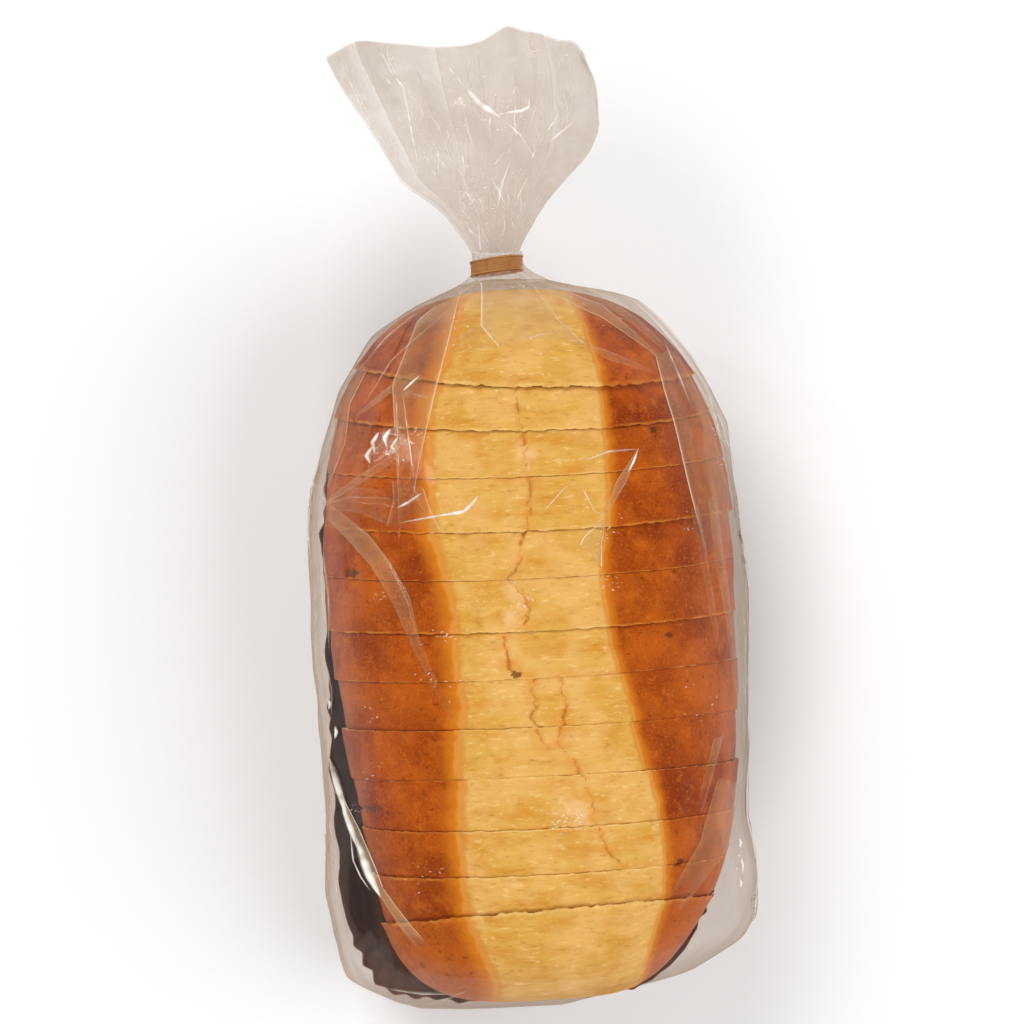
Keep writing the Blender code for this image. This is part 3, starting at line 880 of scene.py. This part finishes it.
class Folds:
    """Folded and creased film that lies on the bag, gathered into one mesh."""

    def __init__(self, bag):
        points = [vertex.co.copy() for vertex in bag.data.vertices]
        self.skin = BVHTree.FromPolygons(points, [tuple(face.vertices) for face in bag.data.polygons])
        self.points, self.faces, self.haze, self.painted_glint = [], [], [], []

    def lay(self, x, y, lift):
        """Point over the film at x and y, raised square to it."""
        hit, normal, _, _ = self.skin.ray_cast(Vector((x, y, 0.2)), Vector((0, 0, -1)))
        if hit is None:
            hit, normal, _, _ = self.skin.find_nearest(Vector((x, y, LOAF_GIRTH)))
        if normal.z < 0:
            normal = -normal
        return hit + normal * lift

    def sheet(self, left, right, hazes, painted_glints, fade):
        """A flap between two edges, given from the neck downwards, with painted highlights along its creased
        edges.
        """
        rows, columns = 44, 15
        left, right = even_path(left, rows), even_path(right, rows)
        start = len(self.points)
        for row in range(rows):
            step = row / (rows - 1)
            end = min(1.0, (1 - step) / fade, step / 0.04 + 0.3) if fade else 1.0
            haze = hazes[0] + (hazes[1] - hazes[0]) * step
            for column in range(columns):
                share = 0.5 - 0.5 * math.cos(math.pi * column / (columns - 1))
                x, y = left[row] * (1 - share) + right[row] * share
                self.points.append(self.lay(x, y, FLAP_LIFT * (1 + 1.2 * math.sin(math.pi * share))))
                # Painted highlights along the flap's two edges.
                edge = painted_glints[0] * max(0, 1 - share / 0.06) + painted_glints[1] * max(0, 1 - (1 - share) / 0.06)
                self.haze.append(FLAP_HAZE * haze * end * (0.60 + 0.40 * abs(2 * share - 1)))
                self.painted_glint.append(edge * end)
        self.faces += grid_faces(rows, columns, False, start)

    def crease(self, path, width, painted_glint, haze=0.1):
        """A narrow raised crease along a path, tapered to both ends, with a painted highlight along it in
        places.
        """
        rows = 40
        line = even_path(path, rows)
        start = len(self.points)
        # Profile across a crease: offset, rise, and share of its painted highlight.
        profile = ((-1.0, 0.0, 0.0), (-0.4, 0.5, 0.7), (0.0, 1.0, 1.0), (0.4, 0.5, 0.7), (1.0, 0.0, 0.0))
        for row in range(rows):
            ahead = line[min(row + 1, rows - 1)] - line[max(row - 1, 0)]
            side = np.array([-ahead[1], ahead[0]]) / max(np.hypot(*ahead), 1e-9)
            step = row / (rows - 1)
            taper = max(0.08, math.sin(math.pi * step) ** 0.6)
            patchy = 0.75 + 0.35 * float(lumps(line[row][0] / (2 * MM), line[row][1] / (2 * MM), 77))
            for across, rise, bright in profile:
                x, y = line[row] + side * across * 0.5 * width * taper
                self.points.append(self.lay(x, y, CREASE_LIFT + 0.35 * width * rise * taper))
                self.haze.append(haze * rise)
                self.painted_glint.append(min(1.0, painted_glint * bright * patchy * (0.4 + 0.7 * taper)))
        self.faces += grid_faces(rows, len(profile), False, start)

    def glints(self, x, y, spread, count, seed, longest):
        """A patch of small raised crinkles, painted white as highlights."""
        rng = np.random.default_rng(seed)
        for _ in range(count):
            cx, cy = x + rng.normal(0, spread), y + rng.normal(0, spread * 0.7)
            heading, length = rng.uniform(-0.9, 0.9), rng.uniform(0.35, 1.0) * longest
            dx, dy = 0.5 * length * math.cos(heading), 0.5 * length * math.sin(heading)
            bend = rng.uniform(-0.3, 0.3) * length
            path = ((cx - dx, cy - dy), (cx - bend * math.sin(heading), cy + bend), (cx + dx, cy + dy))
            self.crease(path, rng.uniform(0.18, 0.5) * MM, rng.uniform(0.5, 0.95), 0.0)

    def crinkle(self, patches, seed):
        """Patches of crinkles, each with its own seed."""
        for index, (x, y, spread, count, longest) in enumerate(patches):
            self.glints(x * MM, y * MM, spread * MM, count, seed + index, longest * MM)

    def finish(self, name, film):
        over = over_crust(np.array([point.z for point in self.points]))
        fields = {"haze": self.haze, "painted_glint": self.painted_glint, "over": over}
        piece = add_mesh(name, self.points, self.faces, fields)
        piece.data.set_sharp_from_angle(angle=math.radians(30.0))
        return finish_film(piece, film)


def even_path(points, count):
    """Places evenly spaced along a line through points, its corners a little rounded."""
    points = np.asarray(points, float)
    length = np.concatenate([[0.0], np.cumsum(np.hypot(*np.diff(points, axis=0).T))])
    wanted = np.linspace(0.0, length[-1], count)
    blur = 0.012 * length[-1]
    steps = (-1.0, -0.5, 0.0, 0.5, 1.0)
    ends = np.minimum(wanted, length[-1] - wanted)
    reach = np.minimum(blur, ends)
    return sum(
        np.stack([np.interp(wanted + step * reach, length, column) for column in points.T], axis=-1)
        for step in steps) / len(steps)


def mm(*pairs):
    return [(a * MM, b * MM) for a, b in pairs]


# Flaps of folded film: haze at the neck end and the far end, painted highlight of the left and right edges,
# the share of its length over which it fades out, then its left and right edges in mm, from the neck
# downwards.
FLAPS = (
    ((0.46, 0.14), (0.3, 0.4), 0.12,
     ((-14, 71), (-22, 65), (-27, 62.5), (-32.5, 58.5), (-36.5, 49.5), (-41.5, 38.5), (-41.5, 3),
      (-42, -9.5)),
     ((-12, 71), (-19, 66.5), (-24, 50.5), (-28.5, 36.5), (-34.5, 15.5), (-37, 4), (-40, -3.5))),
    ((0.18, 0.1), (0.2, 0.0), 0.3, ((-40, 40), (-33, 42)), ((-38, 34), (-30, 33))),
    ((0.16, 0.08), (0.25, 0.35), 0.12, ((-43, 9), (-43, 3), (-45.5, -5)),
     ((-34, 6), (-32, -1.5), (-29, -8))),
    ((0.42, 0.24), (0.5, 0.05), 0.03, ((-12, 71), (-14, 55), (-9, 47.5)), ((-3, 71), (1, 62), (-1.5, 50))),
    ((0.36, 0.2), (0.05, 0.4), 0.03, ((-3, 71), (1, 62), (-1.5, 50)), ((2, 71), (9.5, 56.5), (17.5, 47.5))),
    ((0.14, 0.2), (0.1, 0.25), 0.2, ((-24, 50), (-14, 56)), ((-22, 47), (-9, 47.5))),
    ((0.34, 0.2), (0.55, 0.2), 0.12, ((17, 48.5), (24, 45.8), (38, 39.8)),
     ((17.5, 47), (24, 43), (38, 38.8))),
    ((0.36, 0.3), (0.6, 0.35), 0.12, ((4, 71), (19.5, 63), (24, 61.5), (44, 42)),
     ((6, 67), (19, 59), (24, 56.5), (32.5, 50), (44, 41.4))),
    ((0.3, 0.18), (0.5, 0.0), 0.2, ((9, 71), (22, 66), (34, 58), (48, 44)),
     ((7, 70), (20, 64.5), (31, 57), (46, 43))),
    ((0.26, 0.15), (0.5, 0.0), 0.3, ((39.5, 45), (41, 33.5), (43.5, 22.5), (47, 2.5), (52, -20)),
     ((47, 47), (53, 33), (57, 22), (61, 2), (59, -20))),
    ((0.26, 0.2), (0.0, 0.15), 0.4, ((53, 0), (54, -19), (57, -37), (59, -60)),
     ((56, 0), (57.5, -19), (60, -37), (61, -60))),
    ((0.18, 0.1), (0.1, 0.0), 0.4, ((47, -3), (49.5, -19), (52, -37), (54, -50)),
     ((50, -3), (52, -19), (54, -37), (55, -50))),
    ((0.34, 0.16), (0.5, 0.1), 0.3, ((-41.5, 38.5), (-52, 31)), ((-41.5, 36), (-53, 29))),
    ((0.3, 0.34), (0.3, 0.2), 0.12, ((-42.5, 17), (-53, 11), (-63.5, 4.5)),
     ((-42.5, 14.5), (-53, 8.5), (-63.5, 3))),
    ((0.3, 0.22), (0.2, 0.35), 0.12, ((-50, 47), (-57, 39), (-59, 26), (-66, 12)),
     ((-48, 45), (-54, 34), (-56, 22), (-62, 8))),
    ((0.22, 0.1), (0.2, 0.3), 0.3, ((-63, 4), (-56, 8), (-43, 6)), ((-63, 3), (-56.5, 5), (-42, 3.5))),
    ((0.2, 0.14), (0.2, 0.15), 0.12, ((-62, 4), (-56.5, 5), (-42, 3.5)),
     ((-62, 2), (-53, 0), (-44.5, -4.5))),
    ((0.4, 0.2), (0.12, 0.05), 0.5,
     ((-61, 3), (-50.5, -7), (-45, -15), (-39.5, -26), (-37, -39.5), (-32.5, -52), (-27.5, -65)),
     ((-62.5, -1), (-56, -9), (-50, -17), (-44.5, -28), (-40, -40), (-34.5, -52.5), (-28.5, -65))),
    ((0.26, 0.24), (0.12, 0.0), 0.25, ((52, -85), (45, -104), (33, -121)),
     ((60, -87), (55, -106), (38, -124))),
    ((0.26, 0.18), (0.12, 0.1), 0.3, ((51, -73), (44, -95)), ((54.5, -72), (46.5, -95))),
    ((0.5, 0.6), (0.9, 0.8), 0.0,
     ((-63.8, -78), (-62.3, -87), (-59.2, -95), (-55.5, -107.5), (-53, -113.5)),
     ((-63.3, -78), (-60.8, -87), (-57.2, -95), (-52.6, -107.5), (-51, -113))),
    ((0.6, 0.35), (0.1, 0.35), 0.2, ((-53, -113.5), (-50, -119), (-45.5, -126.5), (-42, -131)),
     ((-51, -113), (-47.5, -118.5), (-42.5, -125.5), (-38.5, -130.5))),
    ((0.5, 0.6), (0.3, 0.3), 0.0, ((31.2, 15.4), (24.2, 6), (19.6, -4.6)),
     ((31.2, 14.6), (26.8, 5), (20, -4.8))),
    ((0.45, 0.4), (0.5, 0.5), 0.0, ((19, -6), (13, -11), (12, -13)), ((20, -6), (18.5, -13), (18.2, -20))),
    ((0.1, 0.08), (0.35, 0.1), 0.0, ((-41, 26), (-49, 17), (-51, 9)), ((-36, 17), (-42, 13), (-49, 8))),
)
# Creases, in mm: width and the strength of their painted highlight, then the places that each one runs
# through.
CREASES = (
    (0.9, 0.4, (-40.5, 37), (-40.5, 22), (-41, 8)), (0.8, 0.6, (-38.5, 36), (-37.5, 22), (-36.5, 8.5)),
    (1.1, 0.9, (-33, 40.5), (-38.5, 36)), (0.6, 0.35, (-9, 47.5), (-1.5, 50), (7.5, 52), (17.5, 47.5)),
    (1.2, 0.5, (43, 50), (46, 40), (49.5, 29)), (0.9, 0.5, (52, 42), (56.5, 32), (58.5, 21.5), (63.5, 12)),
    (0.7, 0.6, (54, 36), (60, 24), (65, 10)), (0.9, 0.35, (-30, 63), (-42, 54), (-52, 43)),
    (0.7, 0.3, (-24, 60), (-34, 52), (-41, 46), (-50, 33)),
    (0.7, 0.22, (-50, -8), (-44.5, -17), (-40, -28), (-37, -42)),
    (2.6, 1, (-64.5, -74), (-62.6, -82), (-60, -92)), (2.4, 1, (-61.5, -88), (-59, -96), (-57.2, -102)),
    (3.4, 1, (-57.8, -98), (-54.6, -109), (-51.5, -116)),
    (0.7, 0.95, (-59.5, -97), (-59, -105), (-57, -110), (-54.5, -114)),
    (1.1, 0.5, (-51, -144), (-40, -145.8), (-29.5, -146)),
    (1.1, 0.4, (-42.5, -151), (-35, -149), (-27, -145)), (1.4, 0.75, (-42, 0.5), (-38.5, 2), (-34.5, 4.5)),
    (1, 0.65, (-41.5, -4), (-31.5, -2.8), (-23.5, -1.8), (-20, -0.6)),
    (1.7, 1, (-28.5, -2.4), (-22.5, -1.8), (-20, 0.3), (-17.5, 3.2)),
    (1.1, 0.55, (14, 12), (22, 14.6), (31, 15.2)), (1, 0.95, (31.3, 15.6), (29.5, 11.5), (27.5, 8)),
    (0.6, 0.5, (12, 6.5), (8, 4), (4, 0), (0, -4)),
    (0.6, 0.65, (12.5, 5.5), (15, 0.5), (16.5, -3), (19.8, -4.8)),
)
# Short creases round a crushed spot, and nicks along the outer edges, all painted as white highlights: x, y
# and length in mm.
CRUSHED_PEAKS = ((-46, 21, 7), (-42.5, 22, 6), (-40.5, 19, 4), (-48, 17, 5))
EDGE_NICKS = ((58.5, -104, 3), (58.6, -110, 5), (57.6, -116, 3), (-64, -56, 3), (-62.5, -64, 4), (67.5, 5, 5))
SIDE_CREASES = 16
# Patches of small crinkles painted as white highlights: x, y and spread in mm, how many, and the longest in
# mm.
CRINKLES = (
    (-44, 20, 3.0, 30, 2.4), (-37, 24, 2.4, 14, 1.6), (-29, -39, 2.4, 14, 1.8), (-33, -54, 3.5, 14, 1.2),
    (6, -96, 2.8, 34, 2.0), (2, -94, 2.6, 14, 1.2), (-60, -89, 2.0, 6, 1.2), (-47.5, -25, 2.0, 9, 1.6),
    (18.5, -8, 2.6, 18, 1.4), (16, -22, 2.5, 12, 1.4), (60, 12, 1.6, 14, 1.8), (58, 22, 3.0, 9, 1.4),
    (-6, -30, 2.4, 12, 1.2), (21, -26, 1.2, 9, 1.2), (-53, -60, 3.0, 8, 1.2), (-52, -78, 2.5, 6, 1.2),
    (-20, 56, 4.5, 12, 1.4), (3, 40, 8.0, 16, 1.1), (45, -8, 4.0, 9, 1.2), (48, -60, 6.0, 12, 1.1),
    (-40, -112, 4.0, 8, 1.2), (58, -112, 2.0, 9, 1.4), (0, 70, 5.0, 16, 1.6), (20, 60, 6.0, 10, 1.3),
)


def build_folds(bag, film):
    """Pleats from the neck, slack folds down both sides, tucked corners and small crinkles."""
    folds = Folds(bag)
    # Flaps, creases and crinkles carry painted white highlights along their edges and ridges.
    for hazes, painted_glints, fade, left, right in FLAPS:
        folds.sheet(mm(*left), mm(*right), hazes, painted_glints, fade)
    for width, painted_glint, *path in CREASES:
        folds.crease(mm(*path), width * MM, painted_glint)
    for x, y, length in CRUSHED_PEAKS:
        folds.crease(mm((x, y + 3), (x - 2, y), (x + 0.5 - 0.3 * length, y - 0.5 * length)), 1.8 * MM, 1.0)
    folds.crinkle(CRINKLES, 900)
    for x, y, length in EDGE_NICKS:
        folds.crease(mm((x, y), (x + 0.3, y - 0.5 * length), (x - 0.2, y - length)), 1.3 * MM, 0.95)
    # Thin creases down both sides, with faint painted highlights.
    rng = np.random.default_rng(44)
    for side in (-1, 1):
        for _ in range(SIDE_CREASES):
            y, length = rng.uniform(-120, 20), rng.uniform(10, 34)
            x, wander = side * rng.uniform(63, 68), rng.uniform(-1.2, 1.2)
            path = mm((x, y), (x + wander, y - 0.5 * length), (x + 0.4 * wander, y - length))
            folds.crease(path, rng.uniform(0.4, 1.0) * MM, rng.uniform(0.15, 0.5))
    return folds.finish("film_folds", film)


# Creases of the gathered end: width in mm and the strength of their painted highlight, then the places that
# each one runs through.
TAIL_CREASES = (
    (1.1, 0.85, (-39.5, 152), (-35.5, 141), (-32, 136.5), (-30, 118), (-28.5, 107.5)),
    (0.7, 0.6, (-37.5, 151), (-34, 140), (-30.5, 126)), (0.6, 0.5, (-36.5, 151), (-36, 141)),
    (0.7, 0.6, (-41.5, 151.5), (-37, 145.5)),
    (0.8, 0.6, (-20.5, 150.5), (-17.5, 145), (-13.5, 137.5), (-11.5, 133.5)),
    (3.2, 0.9, (-12.5, 136), (-8.5, 130), (-1, 124.5)), (1.0, 0.7, (-3, 126), (4, 119), (9, 110)),
    (1.6, 0.9, (-3, 126), (4.5, 127), (7.5, 128.5), (8, 132)),
    (0.9, 0.7, (20.5, 132), (15, 123), (8, 113.5)), (1.1, 0.8, (21, 123), (16, 119), (11.5, 115)),
    (0.6, 0.45, (21.5, 150), (21.5, 140.5), (20.5, 123)), (0.6, 0.5, (5.5, 148.5), (12, 147), (17, 150)),
    (0.6, 0.5, (6.5, 150.5), (10, 147.5), (14, 146.5)), (0.8, 0.6, (-52, 148), (-48, 137.5), (-43.5, 126)),
    (0.7, 0.5, (-50, 147), (-46.5, 136), (-42.5, 127)), (0.8, 0.6, (-17.5, 96.5), (-14, 102), (-9.5, 104)),
    (0.8, 0.6, (-7.5, 106), (-5.5, 104), (-1.5, 95)),
    (0.7, 0.5, (-37.5, 121.5), (-36.5, 118), (-36, 113.5)),
    (0.7, 0.45, (-25.5, 134), (-22, 124), (-18, 110), (-15, 104.5)),
    (0.7, 0.5, (-0.5, 114.5), (-5, 109.5), (-7, 106)), (0.6, 0.5, (-10, 148), (-11.5, 139), (-10.5, 136)),
    (0.7, 0.5, (5, 138.5), (2.5, 133), (0, 126.5)), (0.7, 0.5, (-28.5, 147.5), (-19, 137), (-12.5, 134.5)),
    (0.7, 0.45, (-14.5, 111), (-12, 100), (-8, 91), (-4.5, 86)),
    (0.7, 0.45, (3, 108), (1, 99.5), (-1, 89.5)), (0.7, 0.5, (11, 122), (9.5, 116.5), (14, 118.5)),
    (0.7, 0.4, (14, 140), (12, 128), (13, 118)), (0.6, 0.4, (-30, 112), (-22, 102), (-16, 93)),
    (0.6, 0.4, (16, 108), (9, 98), (3, 88)),
)
TAIL_SMALL_CREASES = 90
# Patches of small crinkles on the gathered end, painted white as highlights: x, y and spread in mm, how many,
# and the longest in mm.
TAIL_CRINKLES = (
    (-5, 128, 5, 24, 2.2), (-13, 100, 4, 20, 2.0), (10, 122, 5, 14, 1.6), (-8, 92, 4, 14, 1.5),
    (-38, 143, 5, 12, 1.6), (12, 148, 6, 14, 1.6), (-20, 126, 9, 18, 1.4), (0, 108, 7, 16, 1.4),
    (-30, 115, 5, 10, 1.4),
)


def build_tail_folds(tail, film):
    """Creases where the gathered end of the bag was crushed and let go, with painted highlights along them.
    """
    folds = Folds(tail)
    for width, painted_glint, *path in TAIL_CREASES:
        folds.crease(mm(*path), width * MM, painted_glint)
    # Short creases fanning from the neck, each with a painted highlight.
    rng = np.random.default_rng(71)
    for _ in range(TAIL_SMALL_CREASES):
        y, lean = rng.uniform(92, 148), rng.uniform(-0.95, 0.75)
        spread, length = (y - 72) / 78, rng.uniform(4, 20)
        x, bend = NECK.x / MM + 42 * spread * lean, rng.uniform(-1.5, 1.5)
        slope = 0.62 * lean + rng.normal(0, 0.22)
        middle, end = (x - slope * 0.5 * length + bend, y - 0.5 * length), (x - slope * length, y - length)
        folds.crease(mm((x, y), middle, end), rng.uniform(0.35, 0.8) * MM, rng.uniform(0.15, 0.75))
    folds.crinkle(TAIL_CRINKLES, 700)
    return folds.finish("tail_folds", film)


TAIL_LEFT = ((0, 0.19, 0.32, 0.56, 0.88, 1), (7.0, 16.5, 28.5, 36.5, 48, 51))
TAIL_RIGHT = ((0, 0.21, 0.44, 0.57, 0.83, 1), (7.0, 17, 32, 36, 36.5, 33))
TAIL_HEM = ((-1, -0.78, -0.1, 0.25, 0.68, 0.9, 1), (0.876, 0.947, 0.907, 1.0, 0.927, 0.915, 0.84))


def build_tail(film):
    """Gathered film beyond the tie: one tube pressed flat, folded to and fro in layers and fanned out."""
    turns = np.array([0.0, 1.0, 0.34, 0.80, 0.08, 1.0, 0.0])
    steps = np.abs(np.diff(turns))
    knots = np.concatenate([[0.0], np.cumsum(steps)]) / steps.sum()
    columns, rows = 560, 110
    t = np.linspace(0.0, 1.0, columns)
    across = sum(np.interp(np.clip(t + k * 0.0022, 0, 1), knots, turns) for k in (-2, -1, 0, 1, 2)) / 5
    layer = np.interp(t, knots, np.linspace(-1.0, 1.0, len(turns)))[None, :]
    share = np.linspace(0.0, 1.0, rows)[:, None]
    side = across[None, :] * 2 - 1
    left, right = curve_through(share, *TAIL_LEFT, 0.04) * MM, curve_through(share, *TAIL_RIGHT, 0.04) * MM
    hem = curve_through(side, *TAIL_HEM, 0.06)
    reach = (TAIL_CREST + 4.0 * MM - CLOSED_END - NECK_END) * share * (1 + (hem - 1) * ease(share * 1.2))
    x = NECK.x + np.where(side > 0, right, left) * side
    y = CLOSED_END + NECK_END + reach
    v, w = side * 26 * MM, share * 75 * MM + side * 0
    crumple = 1.9 * MM * facets(v / (13 * MM), w / (26 * MM), 61, 0.15)
    crumple = crumple + 0.9 * MM * facets(v / (6 * MM), w / (10 * MM), 63, 0.5)
    own = 0.5 * MM * facets(v / (7 * MM) + 9 * layer, w / (15 * MM), 65, 0.2)
    thick = NECK_HALF_HEIGHT * 0.8 + (2.0 * MM - NECK_HALF_HEIGHT * 0.8) * ease(1.3 * share)
    wave = 0.65 * np.cos(2 * np.pi * (1.35 * side + 0.1)) + 0.35 * np.cos(2 * np.pi * (2.9 * side + 0.4))
    z = NECK.z - 16.0 * MM * share ** 1.6 + 3.0 * MM * ease(share) * wave + thick * layer
    z = z + ease(share * 3.0) * (crumple + own)
    x = x + ease(share * 3.0) * 0.4 * own
    points = np.stack([x, y, z], axis=-1)
    bend = np.abs(np.gradient(across))
    # Painted highlights: patches over the layers away from their turns, and thin streaks.
    fold = np.clip(1 - 1.5 * bend / bend.max(), 0, 1)[None, :]
    glint_streak = np.clip(facets(v / (3.2 * MM), w / (30 * MM), 67, 0.08) * 2.2 - 1.2, 0, 1)
    low_ends, high_ends = np.minimum(turns[:-1], turns[1:]), np.maximum(turns[:-1], turns[1:])
    layers = sum(
        np.mean([(across + k > low) & (across + k < high) for k in (-0.012, -0.004, 0.004, 0.012)], axis=0)
        for low, high in zip(low_ends, high_ends))
    haze = 1 - SEEN_THROUGH_TAIL ** (1 / np.maximum(layers, 2.0))
    haze = haze[None, :] + 0.06 * layered(v / (9 * MM), w / (9 * MM), 69) + 0.12 * (1 - ease(share * 3))
    painted_glint = 0.22 * fold * (0.5 + 0.5 * layered(w / (9 * MM), v * 0 + layer, 68)) + 0.10 * glint_streak
    piece = add_mesh("tail_film", points, grid_faces(rows, columns, False),
                     {"haze": haze + 0 * v, "painted_glint": np.clip(painted_glint, 0, 1) + 0 * v, "over": 0 * haze})
    piece.data.set_sharp_from_angle(angle=math.radians(16.0))
    return finish_film(piece, film)


# ------------------------------------------------------------------ tie

def build_tie(paper):
    """Paper strip wound once round the neck, a wire bead along each edge."""
    stations, profile = 150, []
    half, bead = 2.45 * MM, 0.40 * MM
    for across in np.linspace(-1, 1, 15):
        ridge = bead * math.exp(-((abs(across) - 0.86) / 0.10) ** 2)
        profile.append((across * half, 0.16 * MM + ridge, abs(across)))
    for across in np.linspace(1, -1, 15):
        profile.append((across * half, -0.16 * MM, abs(across)))
    tilt = math.tan(math.radians(5.0))
    points, lip = [], []
    seam, overlap = math.radians(84.0), math.radians(26.0)
    for station in range(stations + 1):
        turned = station / stations * (2 * math.pi + overlap)
        angle = seam + turned
        lift = 0.9 * MM * float(ease((turned - 2 * math.pi + 1.2) / 1.0))
        for along, out, place in profile:
            base = 0.55 * MM + lift + out
            x = (NECK_HALF_WIDTH + base) * math.cos(angle)
            z = (NECK_HALF_HEIGHT + base) * math.sin(angle)
            points.append((NECK.x + x, NECK.y + along + tilt * x, NECK.z + z))
            lip.append(place if out > 0.3 * MM else 0.0)
    columns = len(profile)
    faces = grid_faces(stations + 1, columns, True)
    faces.append(tuple(range(columns)))
    faces.append(tuple(range(stations * columns, (stations + 1) * columns))[::-1])
    piece = add_mesh("paper_tie", points, faces, {"lip": lip})
    piece.data.set_sharp_from_angle(angle=math.radians(50.0))
    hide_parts("neck_tie")
    return finish(piece, "kraft_tie", paper)


# ------------------------------------------------------------------ setting

def build_floor():
    mat, _, shader = new_material("studio_floor")
    shader.inputs["Base Color"].default_value = (0.94, 0.94, 0.935, 1.0)
    shader.inputs["Roughness"].default_value = 0.9
    mesh = bpy.data.meshes.new("floor")
    mesh.from_pydata([(-4, -4, 0), (4, -4, 0), (4, 4, 0), (-4, 4, 0)], [], [(0, 1, 2, 3)])
    mesh.materials.append(mat)
    floor = bpy.data.objects.new("floor", mesh)
    bpy.context.scene.collection.objects.link(floor)


def add_softbox(name, place, aim, size, watts, glints=False):
    """A rectangular light; only one with glints shows as itself in glossy film."""
    lamp = bpy.data.lights.new(name, "AREA")
    lamp.shape = "RECTANGLE"
    lamp.size, lamp.size_y = size
    lamp.energy = watts
    holder = bpy.data.objects.new(name, lamp)
    holder.location = place
    holder.rotation_euler = (Vector(aim) - Vector(place)).to_track_quat("-Z", "Y").to_euler()
    holder.visible_glossy = glints
    bpy.context.scene.collection.objects.link(holder)


def build_lights():
    """Three softboxes and a narrow strip, in a pale room with a darker ceiling."""
    centre = (0.0, 0.0, 0.04)
    add_softbox("key_softbox", (-0.45, 0.75, 0.95), centre, (0.7, 0.5), 8.6)
    add_softbox("fill_softbox", (0.75, -0.25, 0.85), centre, (0.8, 0.8), 6.7)
    add_softbox("foot_softbox", (-0.35, -0.85, 0.9), centre, (0.6, 0.4), 5.0)
    add_softbox("strip_light", (-0.75, 0.35, 0.7), centre, (0.04, 0.9), 1.0, True)
    world = bpy.data.worlds.new("studio")
    world.use_nodes = True
    kit = Nodes(world.node_tree)
    backdrop = world.node_tree.nodes["Background"]
    height = kit.add("SeparateXYZ")
    kit.join(kit.add("TexCoord").outputs["Generated"], height.inputs[0])
    kit.join(kit.mix(kit.span(height.outputs[2], 0.15, 0.85), (0.62, 0.615, 0.61), (0.12, 0.12, 0.12)),
             backdrop.inputs["Color"])
    backdrop.inputs["Strength"].default_value = 0.80
    bpy.context.scene.world = world


def build_camera():
    """Camera above the loaf, a little to its left and towards its closed end."""
    distance = 1.15
    target = Vector((-4.4 * MM, 0.0, GIRTH_HEIGHT))
    lean_left, lean_foot = math.radians(4.5), math.radians(3.0)
    away = Vector((-math.tan(lean_left), -math.tan(lean_foot), 1.0)).normalized()
    lens = bpy.data.cameras.new("camera")
    lens.sensor_width = 36.0
    lens.lens = lens.sensor_width * distance / VIEW_WIDTH
    lens.dof.use_dof = False
    camera = bpy.data.objects.new("camera", lens)
    roll = math.radians(2.6)
    up = Vector((math.sin(roll), math.cos(roll), 0.0))
    side = up.cross(away).normalized()
    top = away.cross(side)
    turned = Matrix((side, top, away)).transposed().to_4x4()
    camera.matrix_world = Matrix.Translation(target + away * distance) @ turned
    bpy.context.scene.collection.objects.link(camera)
    bpy.context.scene.camera = camera


def build_gathered_end():
    film = film_material("gathered_film", (0.575, 0.485, 0.415), (0.575, 0.485, 0.415), 7.0 * MM)
    build_tail_folds(build_tail(film), film)


build_camera()
build_lights()
build_floor()
build_loaf()
build_case()
# The orange veil colour over the crust is painted light bounced from the bread.
FILM = film_material("clear_film", (0.56, 0.42, 0.22), (0.72, 0.62, 0.53), 11.0 * MM)
build_folds(build_bag_film(FILM), FILM)
build_gathered_end()
build_tie(kraft_material())

bpy.context.scene.view_settings.view_transform = "Standard"
bpy.context.scene.cycles.transparent_max_bounces = 24
bpy.context.scene.cycles.max_bounces = 5
bpy.context.scene.cycles.diffuse_bounces = 3
bpy.context.scene.cycles.glossy_bounces = 2
